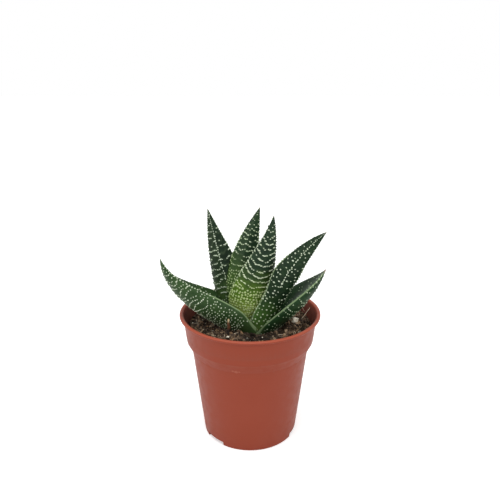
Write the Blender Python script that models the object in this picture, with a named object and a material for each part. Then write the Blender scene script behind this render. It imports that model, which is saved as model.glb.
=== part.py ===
# A potted gasterhaworthia: a small moulded nursery pot filled with peat, and a rosette of ten thick
# leaves with raised pearly tubercles, on a short stem. Metres, +Z up, the pot's base centre at the origin.

import math
import random

import bmesh
import bpy
from mathutils import Matrix, Vector, noise
from mathutils.bvhtree import BVHTree

MM = 0.001
GAP = 0.35 * MM                 # air between pieces that touch

# Pot
POT_HEIGHT = 51.5 * MM
RIM_RADIUS = 27.5 * MM
RIM_BEAD = 1.1 * MM             # height of the rounded lip
WALL = 1.2 * MM
COLLAR_TOP_RADIUS = 26.3 * MM
COLLAR_FOOT_RADIUS = 25.2 * MM
COLLAR_FOOT_HEIGHT = 40.6 * MM
STEP_DROP = 3.9 * MM            # the slope under the collar
BODY_TOP_RADIUS = 23.1 * MM
FOOT_RADIUS = 18.8 * MM
FOOT_WIDTH = 2.0 * MM
FOOT_HEIGHT = 2.0 * MM
FLOOR_TOP = 3.3 * MM
PAD_RADIUS = 7.0 * MM           # the middle of the base, level with the foot
NOTCH_COUNT = 3
NOTCH_AZIMUTH = 222.0           # middle of the first foot notch, degrees from +X
NOTCH_WIDTH = 28.0              # degrees of the foot
NOTCH_HEIGHT = 1.7 * MM
DRAIN_LENGTH = 6.0 * MM
DRAIN_WIDTH = 3.2 * MM
DRAIN_RADIUS = 12.0 * MM        # middle of each drain slot
POT_SEGMENTS = 48

# Soil
SOIL_LEVEL = 46.5 * MM
SOIL_HEAP = 0.9 * MM            # height of the broad lumps
SOIL_CRUMB = 0.55 * MM          # height of the single crumbs
SOIL_RINGS = 11
SOIL_SEGMENTS = 48
SOIL_EDGE_DROP = 0.8 * MM       # of the soil where it meets the wall
SOIL_CLEARANCE = 0.5 * MM       # from the underside of a leaf
SOIL_PATCH = 1.2 * MM           # reach of the clearance to each side

# Stem
ROSETTE_AXIS = Vector((1.5 * MM, 3.5 * MM, 0.0))
STEM_RADIUS = 3.8 * MM
STEM_TOP = 47.6 * MM
ROOT_TIP = 31.0 * MM
ROOT_TIP_RADIUS = 1.2 * MM
STEM_SHOULDER = 6.0 * MM        # length over which the stem's top rounds off
STEM_SEGMENTS = 20

# Leaves
RING_STEP = 1.75 * MM           # length of leaf to each ring of faces
OUTER_COLUMNS = 10              # faces across the outer side of a leaf
INNER_COLUMNS = 4               # faces across the side that faces the middle
INNER_THICKNESS = 0.13          # of the half width
STUD_HEIGHT = 0.5 * MM
STUD_SIZE = 1.15 * MM
STUD_SHARE = 0.66               # of the face that a stud grows from
STUD_ROOM = 0.24 * MM           # the narrowest face that holds a stud
SMALL_STUD = 0.8                # height of the small studs near the tip, against their face's width
KEEL_BEAD = 0.35 * MM
MARGIN_TOOTH = 0.22 * MM
BASE_FLARE = 0.24               # share of the length over which a leaf reaches its full width

# Each leaf in the order of trimming: the later ones give way to the earlier. Angles are in degrees and
# lengths in mm. seat is the root's distance from the rosette's axis and its height, root its azimuth.
# turn is the azimuth in which the leaf runs at root and tip, rise its slope at root, middle and tip,
# face the azimuth of its outer side at root and tip, and curl the radius across it at root and tip.
# base is the share of half_width at the root and point how full the outline is. bulge is the depth of
# the outer side against half_width, and keel the share of the length where that side sharpens.
LEAVES = {
    "leaf_right_upper": dict(seat=(8.0, 45.0), root=295, turn=(309, 369), rise=(74, 61, 38),
                             length=49.3, half_width=4.9, face=(291, 223), curl=(11.5, 13.1),
                             base=1.20, point=2.5, bulge=0.36, keel=0.30),
    "leaf_front": dict(seat=(5.2, 45.4), root=246, turn=(328, 328), rise=(91, 71, 84), length=48.2,
                       half_width=10.5, face=(277, 283), curl=(10.3, 16.2), base=0.46, point=1.35,
                       bulge=0.28, keel=0.85),
    "leaf_centre": dict(seat=(2.6, 46.8), root=197, turn=(190, 216), rise=(67, 101, 113), length=46.9,
                        half_width=7.9, face=(251, 247), curl=(9.9, 12.9), base=0.50, point=1.9,
                        bulge=0.38, keel=0.35),
    "leaf_bud": dict(seat=(1.2, 49.0), root=60, turn=(60, 145), rise=(80, 82, 88), length=30.0,
                     half_width=4.4, face=(60, 70), curl=(6, 9), base=0.48, point=1.5, bulge=0.36,
                     keel=0.35),
    "leaf_left_upper": dict(seat=(4.4, 45.8), root=166, turn=(168, 160), rise=(68, 73, 77),
                            length=47.4, half_width=9.6, face=(255, 277), curl=(11.3, 14.0),
                            base=0.50, point=1.3, bulge=0.38, keel=0.30),
    "leaf_back": dict(seat=(4.3, 46.2), root=85, turn=(88, 121), rise=(62, 78, 88), length=37.2,
                      half_width=8.5, face=(88, 86), curl=(10, 15), base=0.48, point=1.5, bulge=0.36,
                      keel=0.35),
    "leaf_back_right": dict(seat=(5.0, 44.2), root=38, turn=(40, 25), rise=(38, 54, 64), length=30.7,
                            half_width=8.5, face=(40, 34), curl=(11, 12), base=0.48, point=1.5,
                            bulge=0.36, keel=0.35),
    "leaf_back_left": dict(seat=(5.0, 44.2), root=140, turn=(138, 150), rise=(42, 67, 74), length=35.3,
                           half_width=9.0, face=(140, 144), curl=(11, 12), base=0.48, point=1.5,
                           bulge=0.36, keel=0.35),
    "leaf_left_lower": dict(seat=(5.2, 44.2), root=214, turn=(202, 190), rise=(43, 38, 77), length=46.0,
                            half_width=12.1, face=(199, 207), curl=(11.7, 6.8), base=0.73, point=2.4,
                            bulge=0.40, keel=0.90),
    "leaf_right_lower": dict(seat=(5.2, 44.2), root=312, turn=(334, 334), rise=(46, 47, 59),
                             length=37.8, half_width=9.7, face=(350, 345), curl=(13.2, 9.6),
                             base=0.82, point=2.6, bulge=0.36, keel=0.90),
}


def clear_scene():
    for old in list(bpy.data.objects):
        bpy.data.objects.remove(old, do_unlink=True)


def material(name, colour, roughness):
    made = bpy.data.materials.new(name)
    made.use_nodes = True
    shader = made.node_tree.nodes["Principled BSDF"]
    shader.inputs["Base Color"].default_value = (*colour, 1.0)
    shader.inputs["Roughness"].default_value = roughness
    shader.inputs["Metallic"].default_value = 0.0
    return made


def place(name, mesh, finish, location=(0.0, 0.0, 0.0)):
    mesh.materials.append(finish)
    made = bpy.data.objects.new(name, mesh)
    made.location = location
    bpy.context.collection.objects.link(made)
    return made


def mesh_from(name, points, faces, smooth_angle=None):
    mesh = bpy.data.meshes.new(name)
    mesh.from_pydata([tuple(p) for p in points], [], faces)
    mesh.update()
    if smooth_angle is not None:
        mesh.shade_smooth()
        mesh.set_sharp_from_angle(angle=math.radians(smooth_angle))
    return mesh


def around(radius, height, degrees):
    angle = math.radians(degrees)
    return Vector((radius * math.cos(angle), radius * math.sin(angle), height))


def turned(name, profile, segments, smooth_angle=35.0):
    """A closed body of revolution. The profile runs up the outer side from the axis to the axis."""
    points = []
    rows = []
    for radius, height in profile:
        if radius == 0.0:
            rows.append([len(points)] * segments)
            points.append(Vector((0.0, 0.0, height)))
            continue
        rows.append(list(range(len(points), len(points) + segments)))
        for k in range(segments):
            points.append(around(radius, height, 360.0 * k / segments))
    faces = []
    for low, high in zip(rows, rows[1:]):
        for k in range(segments):
            after = (k + 1) % segments
            corners = [low[k], low[after], high[after], high[k]]
            faces.append(tuple(dict.fromkeys(corners)))
    return mesh_from(name, points, faces, smooth_angle)


def cutter(name, mesh, location=(0.0, 0.0, 0.0)):
    made = bpy.data.objects.new(name, mesh)
    made.location = location
    made.hide_render = True
    made.display_type = "WIRE"
    bpy.context.collection.objects.link(made)
    return made


def cut(target, tool):
    """Cuts the tool out of the target for good, and keeps the largest piece that is left."""
    boolean = target.modifiers.new("cut", "BOOLEAN")
    boolean.operation = "DIFFERENCE"
    boolean.solver = "EXACT"
    boolean.object = tool
    bpy.context.view_layer.update()
    graph = bpy.context.evaluated_depsgraph_get()
    result = bpy.data.meshes.new_from_object(target.evaluated_get(graph))
    target.modifiers.clear()
    old = target.data
    target.data = result
    bpy.data.meshes.remove(old)
    keep_largest(target.data)


def keep_largest(mesh):
    work = bmesh.new()
    work.from_mesh(mesh)
    bmesh.ops.remove_doubles(work, verts=work.verts, dist=1e-6)
    seen = set()
    groups = []
    for start in work.verts:
        if start in seen:
            continue
        group = []
        waiting = [start]
        seen.add(start)
        while waiting:
            here = waiting.pop()
            group.append(here)
            for edge in here.link_edges:
                other = edge.other_vert(here)
                if other not in seen:
                    seen.add(other)
                    waiting.append(other)
        groups.append(group)
    groups.sort(key=len)
    for scrap in groups[:-1]:
        bmesh.ops.delete(work, geom=scrap, context="VERTS")
    work.to_mesh(mesh)
    work.free()


def remove(thing):
    bpy.data.objects.remove(thing, do_unlink=True)


def wall_radius(height):
    """Radius of the pot's inner wall."""
    step_foot = COLLAR_FOOT_HEIGHT - STEP_DROP
    stations = [(FLOOR_TOP, FOOT_RADIUS + 0.4 * MM), (step_foot, BODY_TOP_RADIUS),
                (COLLAR_FOOT_HEIGHT, COLLAR_FOOT_RADIUS), (POT_HEIGHT, COLLAR_TOP_RADIUS)]
    for (low, near), (high, far) in zip(stations, stations[1:]):
        if height <= high:
            share = max(0.0, (height - low) / (high - low))
            return near + (far - near) * share - WALL
    return stations[-1][1] - WALL


def pot():
    step_foot = COLLAR_FOOT_HEIGHT - STEP_DROP
    bead = RIM_BEAD / 2
    bead_middle = POT_HEIGHT - bead
    ease = 0.5 * MM
    profile = [
        (0.0, 0.0),
        (PAD_RADIUS, 0.0),
        (PAD_RADIUS, FOOT_HEIGHT),
        (FOOT_RADIUS - FOOT_WIDTH, FOOT_HEIGHT),
        (FOOT_RADIUS - FOOT_WIDTH, 0.0),
        (FOOT_RADIUS - 0.3 * MM, 0.0),
        (FOOT_RADIUS, 0.3 * MM),
        (BODY_TOP_RADIUS - 0.05 * MM, step_foot - ease),
        (BODY_TOP_RADIUS + 0.15 * MM, step_foot + 0.3 * ease),
        (COLLAR_FOOT_RADIUS - 0.15 * MM, COLLAR_FOOT_HEIGHT - 0.5 * ease),
        (COLLAR_FOOT_RADIUS + 0.02 * MM, COLLAR_FOOT_HEIGHT + ease),
        (COLLAR_TOP_RADIUS, POT_HEIGHT - RIM_BEAD - 0.5 * MM),
    ]
    for k in range(5):
        angle = math.radians(-60.0 + 37.5 * k)
        profile.append((RIM_RADIUS - bead + bead * math.cos(angle),
                        bead_middle + bead * math.sin(angle)))
    for height in (bead_middle, COLLAR_FOOT_HEIGHT + ease, step_foot, FLOOR_TOP):
        profile.append((wall_radius(height), height))
    profile.append((0.0, FLOOR_TOP))
    finish = material("terracotta_plastic", (0.30, 0.075, 0.045), 0.42)
    made = place("pot", turned("pot", profile, POT_SEGMENTS), finish)
    for k in range(NOTCH_COUNT):
        azimuth = NOTCH_AZIMUTH + 360.0 * k / NOTCH_COUNT
        for shape in (foot_notch(azimuth), drain_slot(azimuth)):
            tool = cutter("pot_cutter", shape)
            cut(made, tool)
            remove(tool)
    return made


def foot_notch(azimuth):
    """A curved block that takes a stretch of the foot ring away."""
    inside = FOOT_RADIUS - FOOT_WIDTH - 1.0 * MM
    outside = FOOT_RADIUS + 2.0 * MM
    below = -1.0 * MM
    steps = 6
    points = []
    for k in range(steps + 1):
        degrees = azimuth + NOTCH_WIDTH * (k / steps - 0.5)
        for radius, height in ((inside, below), (outside, below),
                               (outside, NOTCH_HEIGHT), (inside, NOTCH_HEIGHT)):
            points.append(around(radius, height, degrees))
    faces = [(0, 1, 2, 3)]
    for k in range(steps):
        near = 4 * k
        far = near + 4
        for a in range(4):
            b = (a + 1) % 4
            faces.append((near + b, near + a, far + a, far + b))
    last = 4 * steps
    faces.append((last + 3, last + 2, last + 1, last))
    mesh = mesh_from("foot_notch", points, faces)
    face_outwards(mesh)
    return mesh


def drain_slot(azimuth):
    """An upright block through the pot's floor."""
    mesh = bpy.data.meshes.new("drain_slot")
    work = bmesh.new()
    bmesh.ops.create_cube(work, size=1.0)
    size = Matrix.Diagonal((DRAIN_LENGTH, DRAIN_WIDTH, 4 * FLOOR_TOP, 1.0))
    turn = Matrix.Rotation(math.radians(azimuth), 4, "Z")
    work.transform(Matrix.Translation(around(DRAIN_RADIUS, 0.0, azimuth)) @ turn @ size)
    work.to_mesh(mesh)
    work.free()
    return mesh


def face_outwards(mesh):
    work = bmesh.new()
    work.from_mesh(mesh)
    bmesh.ops.recalc_face_normals(work, faces=work.faces)
    work.to_mesh(mesh)
    work.free()


def stem(clearance=0.0):
    """The short stem with the tapered crown of the roots under it."""
    profile = [(0.0, ROOT_TIP - clearance)]
    for share in (0.0, 0.35, 0.75, 1.0):
        radius = ROOT_TIP_RADIUS + (STEM_RADIUS - ROOT_TIP_RADIUS) * math.sin(share * math.pi / 2)
        profile.append((radius + clearance, ROOT_TIP + share * (STEM_TOP - STEM_SHOULDER - ROOT_TIP)))
    for share in (0.45, 0.75, 0.93):
        radius = STEM_RADIUS * math.sqrt(1.0 - share ** 3)
        profile.append((radius + clearance, STEM_TOP + clearance - STEM_SHOULDER * (1.0 - share)))
    profile.append((0.0, STEM_TOP + clearance))
    return turned("stem", profile, STEM_SEGMENTS)


def blend(ends, share):
    return ends[0] + (ends[1] - ends[0]) * share


def slope(rise, share):
    """The leaf's slope, through its three values at root, middle and tip."""
    root, middle, tip = rise
    return ((1 - share) * (1 - 2 * share) * root + 4 * share * (1 - share) * middle
            + share * (2 * share - 1) * tip)


def direction(leaf, share):
    azimuth = math.radians(blend(leaf["turn"], share))
    angle = math.radians(slope(leaf["rise"], share))
    flat = math.cos(angle)
    return Vector((flat * math.cos(azimuth), flat * math.sin(azimuth), math.sin(angle)))


def half_width(leaf, share):
    flare = min(share / BASE_FLARE, 1.0)
    flare = leaf["base"] + (1.0 - leaf["base"]) * flare * flare * (3.0 - 2.0 * flare)
    return max(leaf["half_width"] * MM * flare * (1.0 - share ** leaf["point"]), 0.05 * MM)


def root_of(leaf):
    distance, height = leaf["seat"]
    return ROSETTE_AXIS + around(distance * MM, height * MM, leaf["root"])


def stations(leaf, rings):
    """Centre, outward and sideways direction at each ring of the leaf."""
    centre = Vector((0.0, 0.0, 0.0))
    fine = 4
    found = []
    for k in range(rings * fine + 1):
        share = k / (rings * fine)
        along = direction(leaf, share)
        if k % fine == 0:
            azimuth = math.radians(blend(leaf["face"], share))
            outward = Vector((math.cos(azimuth), math.sin(azimuth), -0.25))
            outward = (outward - outward.dot(along) * along).normalized()
            found.append((share, centre.copy(), outward, along.cross(outward)))
        middle = direction(leaf, share + 0.5 / (rings * fine))
        centre += middle * (leaf["length"] * MM / (rings * fine))
    return found


def across(count):
    """Places across the leaf from -1 to 1, a little closer at the margins."""
    for k in range(count + 1):
        s = 2.0 * k / count - 1.0
        yield s * (1.25 - 0.25 * s * s)


def section_point(leaf, station, u, outer, swell=0.0, extra=0.0):
    """A point of the leaf's skin. The leaf is an arc across, with a bulge outside and a thin inside."""
    share, centre, outward, sideways = station
    half = half_width(leaf, share) + swell
    radius = blend(leaf["curl"], share) * MM
    angle = u * half / radius
    round_part = math.sqrt(max(1.0 - abs(u) ** 2.4, 0.0))
    if outer:
        keel = min(max((share - leaf["keel"]) / 0.4, 0.0), 1.0)
        shape = (1.0 - keel) * round_part + keel * (0.8 * (1.0 - abs(u)) + 0.2 * round_part)
        lift = (leaf["bulge"] * half + swell) * shape + extra
    else:
        lift = -(INNER_THICKNESS * half + swell) * round_part - extra
    side = (radius + lift) * math.sin(angle)
    out = (radius + lift) * math.cos(angle) - radius
    return centre + sideways * side + outward * out


def leaf_mesh(name, leaf, swell=0.0, studs=True):
    """A leaf as rings of faces from root to tip, about its root point."""
    rings = round(leaf["length"] * MM / RING_STEP)
    ring_stations = stations(leaf, rings)
    outside = list(across(OUTER_COLUMNS))
    inside = list(across(INNER_COLUMNS))[1:-1]
    points = []
    rows = []
    for k, station in enumerate(ring_stations[:-1]):
        row = []
        proud = studs and k % 2 == 1 and k < rings - 2
        keeled = station[0] > leaf["keel"]
        for u in outside:
            extra = 0.0
            if proud and abs(u) < 0.01 and keeled:
                extra = KEEL_BEAD
            point = section_point(leaf, station, u, True, swell, extra)
            if proud and abs(u) > 0.99:
                point += station[3] * math.copysign(MARGIN_TOOTH, u)
            row.append(len(points))
            points.append(point)
        for u in reversed(inside):
            row.append(len(points))
            points.append(section_point(leaf, station, u, False, swell))
        rows.append(row)
    faces = []
    count = len(rows[0])
    for k, (low, high) in enumerate(zip(rows, rows[1:])):
        for a in range(count):
            b = (a + 1) % count
            corners = (low[a], low[b], high[b], high[a])
            if studs and has_stud(leaf, k, a, rings, corners, points):
                raise_stud(points, faces, corners)
            else:
                faces.append(corners)
    close_end(points, faces, rows[0], ring_stations[0][1], True)
    close_end(points, faces, rows[-1], ring_stations[-1][1], False)
    return mesh_from(name, points, faces, 50.0)


def close_end(points, faces, row, middle, first):
    hub = len(points)
    points.append(middle)
    for a, here in enumerate(row):
        after = row[(a + 1) % len(row)]
        faces.append((hub, after, here) if first else (hub, here, after))


def has_stud(leaf, ring, column, rings, corners, points):
    """Studs stand in rows across the outer side, staggered, with a few on the inner side."""
    if ring % 2 or ring < 4 or ring > rings - 3:
        return False
    wide = (points[corners[0]] - points[corners[1]]).length
    if wide < STUD_ROOM:
        return False
    row = ring // 2
    if column < OUTER_COLUMNS:
        return (column + row) % 2 == 0
    return row % 2 == 0 and (column + row // 2) % 2 == 0 and column not in (OUTER_COLUMNS, OUTER_COLUMNS + 3)


def raise_stud(points, faces, corners):
    """Draws a face in to a small square and lifts it from the skin."""
    ring = [points[c] for c in corners]
    middle = sum(ring, Vector()) / 4
    normal = (ring[2] - ring[0]).cross(ring[3] - ring[1]).normalized()
    room = (ring[1] - ring[0]).length
    size = min(STUD_SIZE, 2.0 * room)
    along = min(STUD_SHARE, size / (ring[3] - ring[0]).length)
    wide = min(STUD_SHARE, size / room)
    side = ((ring[1] - ring[0]) + (ring[2] - ring[3])) / 4 * wide
    up = ((ring[3] - ring[0]) + (ring[2] - ring[1])) / 4 * along
    top = middle + normal * min(STUD_HEIGHT, SMALL_STUD * room)
    first = len(points)
    points.extend([top - side - up, top + side - up, top + side + up, top - side + up])
    for a in range(4):
        b = (a + 1) % 4
        faces.append((corners[a], corners[b], first + b, first + a))
    faces.append((first, first + 1, first + 2, first + 3))


def rosette():
    """The leaves, each trimmed where it presses on those before it."""
    finish = material("leaf_green", (0.045, 0.10, 0.045), 0.38)
    stem_tool = cutter("stem_space", stem(GAP), ROSETTE_AXIS)
    earlier = []
    made = []
    for name, leaf in LEAVES.items():
        root = root_of(leaf)
        piece = place(name, leaf_mesh(name, leaf), finish, root)
        bpy.context.view_layer.update()
        for tool in [stem_tool] + earlier:
            if touches(piece, tool):
                cut(piece, tool)
        made.append(piece)
        space = leaf_mesh(name + "_space", leaf, GAP + STUD_HEIGHT, studs=False)
        earlier.append(cutter(name + "_space", space, root))
    for tool in [stem_tool] + earlier:
        remove(tool)
    return made


def tree_of(thing):
    points = [thing.location + v.co for v in thing.data.vertices]
    return BVHTree.FromPolygons(points, [tuple(f.vertices) for f in thing.data.polygons])


def touches(one, other):
    return bool(tree_of(one).overlap(tree_of(other)))


def soil(leaves):
    """Peat that fills the pot, heaped and crumbly on top, drawn down under the leaves."""
    trees = [tree_of(leaf) for leaf in leaves]
    draw = random.Random(7)
    side = [(0.0, FLOOR_TOP + GAP)]
    step_foot = COLLAR_FOOT_HEIGHT - STEP_DROP
    for height in (FLOOR_TOP + GAP, step_foot, COLLAR_FOOT_HEIGHT + 0.5 * MM, SOIL_LEVEL - SOIL_EDGE_DROP):
        side.append((wall_radius(height) - GAP, height))
    points = []
    rows = []
    for radius, height in side:
        rows.append(add_circle(points, radius, lambda x, y, h=height: h))
    edge = side[-1][0]
    for ring in range(1, SOIL_RINGS + 1):
        radius = edge * (1.0 - ring / SOIL_RINGS)

        def surface(x, y):
            lumps = noise.noise(Vector((x, y, 0.0)) / (6.0 * MM)) * SOIL_HEAP
            crumbs = draw.uniform(-1.0, 1.0) * SOIL_CRUMB
            return min(SOIL_LEVEL + lumps + crumbs, lowest_leaf(trees, x, y) - SOIL_CLEARANCE)

        rows.append(add_circle(points, radius, surface))
    faces = []
    for low, high in zip(rows, rows[1:]):
        for k in range(SOIL_SEGMENTS):
            after = (k + 1) % SOIL_SEGMENTS
            corners = dict.fromkeys((low[k], low[after], high[after], high[k]))
            faces.append(tuple(corners))
    finish = material("peat", (0.035, 0.022, 0.014), 0.95)
    made = place("soil", mesh_from("soil", points, faces), finish)
    hole = [(0.0, ROOT_TIP - 2 * GAP), (STEM_RADIUS + GAP, ROOT_TIP - 2 * GAP),
            (STEM_RADIUS + GAP, POT_HEIGHT), (0.0, POT_HEIGHT)]
    tool = cutter("stem_hole", turned("stem_hole", hole, STEM_SEGMENTS), ROSETTE_AXIS)
    cut(made, tool)
    remove(tool)
    return made


def lowest_leaf(trees, x, y):
    """Height of the lowest leaf over a small patch of the soil."""
    lowest = POT_HEIGHT
    for aside, beyond in ((0, 0), (1, 0), (-1, 0), (0, 1), (0, -1)):
        foot = Vector((x + aside * SOIL_PATCH, y + beyond * SOIL_PATCH, 0.0))
        for tree in trees:
            under = tree.ray_cast(foot, Vector((0.0, 0.0, 1.0)))[0]
            if under is not None:
                lowest = min(lowest, under.z)
    return lowest


def add_circle(points, radius, height_at):
    if radius < 1e-6:
        points.append(Vector((0.0, 0.0, height_at(0.0, 0.0))))
        return [len(points) - 1] * SOIL_SEGMENTS
    first = len(points)
    for k in range(SOIL_SEGMENTS):
        flat = around(radius, 0.0, 360.0 * k / SOIL_SEGMENTS)
        points.append(Vector((flat.x, flat.y, height_at(flat.x, flat.y))))
    return list(range(first, first + SOIL_SEGMENTS))


def main():
    clear_scene()
    pot()
    bark = material("stem_tissue", (0.20, 0.17, 0.07), 0.7)
    place("stem", stem(), bark, ROSETTE_AXIS)
    leaves = rosette()
    soil(leaves)


main()
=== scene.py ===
# The looks of a small gasterhaworthia in its plastic nursery pot: satin terracotta plastic, crumbly peat
# and thick leaves with pearly tubercles. Sizes in the dictionaries are in mm and degrees, but those of the
# lamps and the floor are in metres. A share runs from 0 to 1, for a leaf from its root to its tip.
import math
import random

import bpy
import numpy as np
from mathutils import Euler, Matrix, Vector, noise
from mathutils.bvhtree import BVHTree


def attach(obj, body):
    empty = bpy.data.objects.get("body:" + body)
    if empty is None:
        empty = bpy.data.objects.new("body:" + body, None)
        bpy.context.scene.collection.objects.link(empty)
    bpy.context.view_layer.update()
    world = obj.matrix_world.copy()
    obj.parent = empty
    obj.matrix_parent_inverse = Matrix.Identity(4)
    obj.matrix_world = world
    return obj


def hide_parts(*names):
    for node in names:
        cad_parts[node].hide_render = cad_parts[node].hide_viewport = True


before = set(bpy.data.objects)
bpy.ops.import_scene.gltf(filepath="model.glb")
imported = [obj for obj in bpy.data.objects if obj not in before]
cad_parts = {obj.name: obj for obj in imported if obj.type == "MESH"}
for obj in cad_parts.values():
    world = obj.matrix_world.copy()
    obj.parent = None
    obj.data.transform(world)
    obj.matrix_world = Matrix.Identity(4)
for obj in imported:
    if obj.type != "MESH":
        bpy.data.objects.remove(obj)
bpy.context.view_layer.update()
mm = 0.001
smallest = 0.001 * mm           # points closer than this are one point
print("frame loaded")


def deselectAll():
    if bpy.context.object and bpy.context.object.mode != "OBJECT":
        bpy.ops.object.mode_set(mode="OBJECT")
    bpy.ops.object.select_all(action="DESELECT")


def pickUp(piece):
    deselectAll()
    piece.select_set(True)
    bpy.context.view_layer.objects.active = piece
    return piece


def named(name):
    piece = bpy.context.object
    piece.name = name
    piece.data.name = name
    return piece


def editAll(piece):
    pickUp(piece)
    bpy.ops.object.mode_set(mode="EDIT")
    bpy.ops.mesh.select_all(action="SELECT")


def leaveEdit():
    bpy.ops.object.mode_set(mode="OBJECT")


def tidySkin(piece):
    # one closed skin, faces outwards
    editAll(piece)
    bpy.ops.mesh.remove_doubles(threshold=smallest)
    bpy.ops.mesh.fill_holes(sides=0)
    bpy.ops.mesh.select_all(action="SELECT")
    bpy.ops.mesh.normals_make_consistent(inside=False)
    leaveEdit()


def smoothBy(piece, angle):
    pickUp(piece)
    bpy.ops.object.shade_smooth_by_angle(angle=math.radians(angle))


def cutAway(piece, tool):
    pickUp(piece)
    cut = piece.modifiers.new("cut", "BOOLEAN")
    cut.operation = "DIFFERENCE"
    cut.solver = "MANIFOLD"
    cut.object = tool
    bpy.ops.object.modifier_apply(modifier="cut")


def keepLargest(piece):
    # scraps left by a cut go
    editAll(piece)
    bpy.ops.mesh.remove_doubles(threshold=smallest)
    bpy.ops.mesh.separate(type="LOOSE")
    leaveEdit()
    parts = sorted(bpy.context.selected_objects, key=lambda part: len(part.data.vertices))
    for scrap in parts[:-1]:
        bpy.data.objects.remove(scrap)
    return pickUp(parts[-1])


def meshPoints(piece):
    points = np.zeros(len(piece.data.vertices) * 3)
    piece.data.vertices.foreach_get("co", points)
    return points.reshape(-1, 3)


def setPoints(piece, points):
    piece.data.vertices.foreach_set("co", np.asarray(points, float).ravel())
    piece.data.update()


def facesOf(piece):
    return [tuple(face.vertices) for face in piece.data.polygons]


def treeOf(piece):
    return BVHTree.FromPolygons([point.co for point in piece.data.vertices], facesOf(piece))


def meshFrom(name, points, faces, smooth=True):
    mesh = bpy.data.meshes.new(name)
    mesh.from_pydata(np.concatenate(points) * mm, [], faces)
    mesh.update()
    if smooth:
        mesh.shade_smooth()
    return mesh


def linked(name, data):
    piece = bpy.data.objects.new(name, data)
    bpy.context.collection.objects.link(piece)
    return piece


def dress(piece, finish):
    piece.data.materials.clear()
    piece.data.materials.append(finish)


def blend(ends, share):
    return ends[0] + (ends[1] - ends[0]) * share


def inMetres(values):
    return [value * mm for value in values]


def startMaterial(name, **shaderValues):
    made = bpy.data.materials.new(name)
    made.use_nodes = True
    shader = made.node_tree.nodes["Principled BSDF"]
    for socket, value in shaderValues.items():
        shader.inputs[socket.replace("_", " ")].default_value = value
    return made, made.node_tree, shader


def addNode(tree, kind, values=None, **settings):
    made = tree.nodes.new(kind)
    for key, value in settings.items():
        setattr(made, key, value)
    for key, value in (values or {}).items():
        if isinstance(value, bpy.types.NodeSocket):
            tree.links.new(value, made.inputs[key])
        else:
            made.inputs[key].default_value = value
    return made


def mixColour(tree, share, first, second, blendType="MIX"):
    return addNode(tree, "ShaderNodeMix", {0: share, 6: first, 7: second}, data_type="RGBA",
                   blend_type=blendType).outputs[2]


def maths(tree, operation, first, second=0.0):
    return addNode(tree, "ShaderNodeMath", {0: first, 1: second}, operation=operation).outputs[0]


def times(tree, first, *others):
    for other in others:
        first = maths(tree, "MULTIPLY", first, other)
    return first


def ramp(tree, value, low, high, toLow=0.0, toHigh=1.0, kind="SMOOTHSTEP"):
    made = addNode(tree, "ShaderNodeMapRange", {"Value": value, "From Min": low, "From Max": high,
                                                "To Min": toLow, "To Max": toHigh},
                   interpolation_type=kind)
    return made.outputs["Result"]


def band(tree, value, rise, fall):
    # 1 between the two limits and 0 outside them
    return times(tree, ramp(tree, value, *rise), ramp(tree, value, *fall))


def ownPlace(tree):
    return addNode(tree, "ShaderNodeTexCoord").outputs["Object"]


def apartOf(tree, vector):
    return addNode(tree, "ShaderNodeSeparateXYZ", {"Vector": vector}).outputs


def fromSpot(tree, place, spot):
    return addNode(tree, "ShaderNodeVectorMath", {0: place, 1: spot}, operation="DISTANCE").outputs["Value"]


def fromAxis(tree, place):
    # distance from the pot's axis
    level = addNode(tree, "ShaderNodeVectorMath", {0: place, 1: (1.0, 1.0, 0.0)}, operation="MULTIPLY")
    return addNode(tree, "ShaderNodeVectorMath", {0: level.outputs["Vector"]},
                   operation="LENGTH").outputs["Value"]


def noiseOf(tree, place, scale, detail, roughness=0.5):
    return addNode(tree, "ShaderNodeTexNoise", {"Vector": place, "Scale": scale, "Detail": detail,
                                                "Roughness": roughness}).outputs["Fac"]


def startGroup(name, takes, gives):
    group = bpy.data.node_groups.new(name, "ShaderNodeTree")
    for label, value in takes.items():
        kind = "NodeSocketColor" if isinstance(value, tuple) else "NodeSocketFloat"
        socket = group.interface.new_socket(label, in_out="INPUT", socket_type=kind)
        socket.default_value = value
    for label in gives:
        kind = "NodeSocketColor" if label == "Colour" else "NodeSocketFloat"
        group.interface.new_socket(label, in_out="OUTPUT", socket_type=kind)
    return group, group.nodes.new("NodeGroupInput").outputs, group.nodes.new("NodeGroupOutput").inputs


def useGroup(tree, group, values):
    return addNode(tree, "ShaderNodeGroup", values, node_tree=group).outputs


def feed(tree, shader, shade, rough):
    tree.links.new(shade, shader.inputs["Base Color"])
    tree.links.new(rough, shader.inputs["Roughness"])


def bumpInto(tree, shader, height, distance, strength):
    bump = addNode(tree, "ShaderNodeBump", {"Height": height, "Distance": distance, "Strength": strength})
    tree.links.new(bump.outputs["Normal"], shader.inputs["Normal"])


def colour(red, green, blue):
    return (red, green, blue, 1.0)


def buildMottle():
    # two tones in soft clouds, for every finish here; more contrast lets them meet more sharply
    group, takes, gives = startGroup("mottle", {
        "First": colour(0.5, 0.5, 0.5), "Second": colour(0.4, 0.4, 0.4), "Size": 0.002, "Contrast": 0.5},
        ["Colour", "Value"])
    clouds = noiseOf(group, ownPlace(group), maths(group, "DIVIDE", 1.0, takes["Size"]), 4.0, 0.6)
    reach = maths(group, "SUBTRACT", 0.36, times(group, takes["Contrast"], 0.35))
    value = ramp(group, clouds, maths(group, "SUBTRACT", 0.5, reach), maths(group, "ADD", 0.5, reach))
    group.links.new(mixColour(group, value, takes["First"], takes["Second"]), gives["Colour"])
    group.links.new(value, gives["Value"])
    return group


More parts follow.
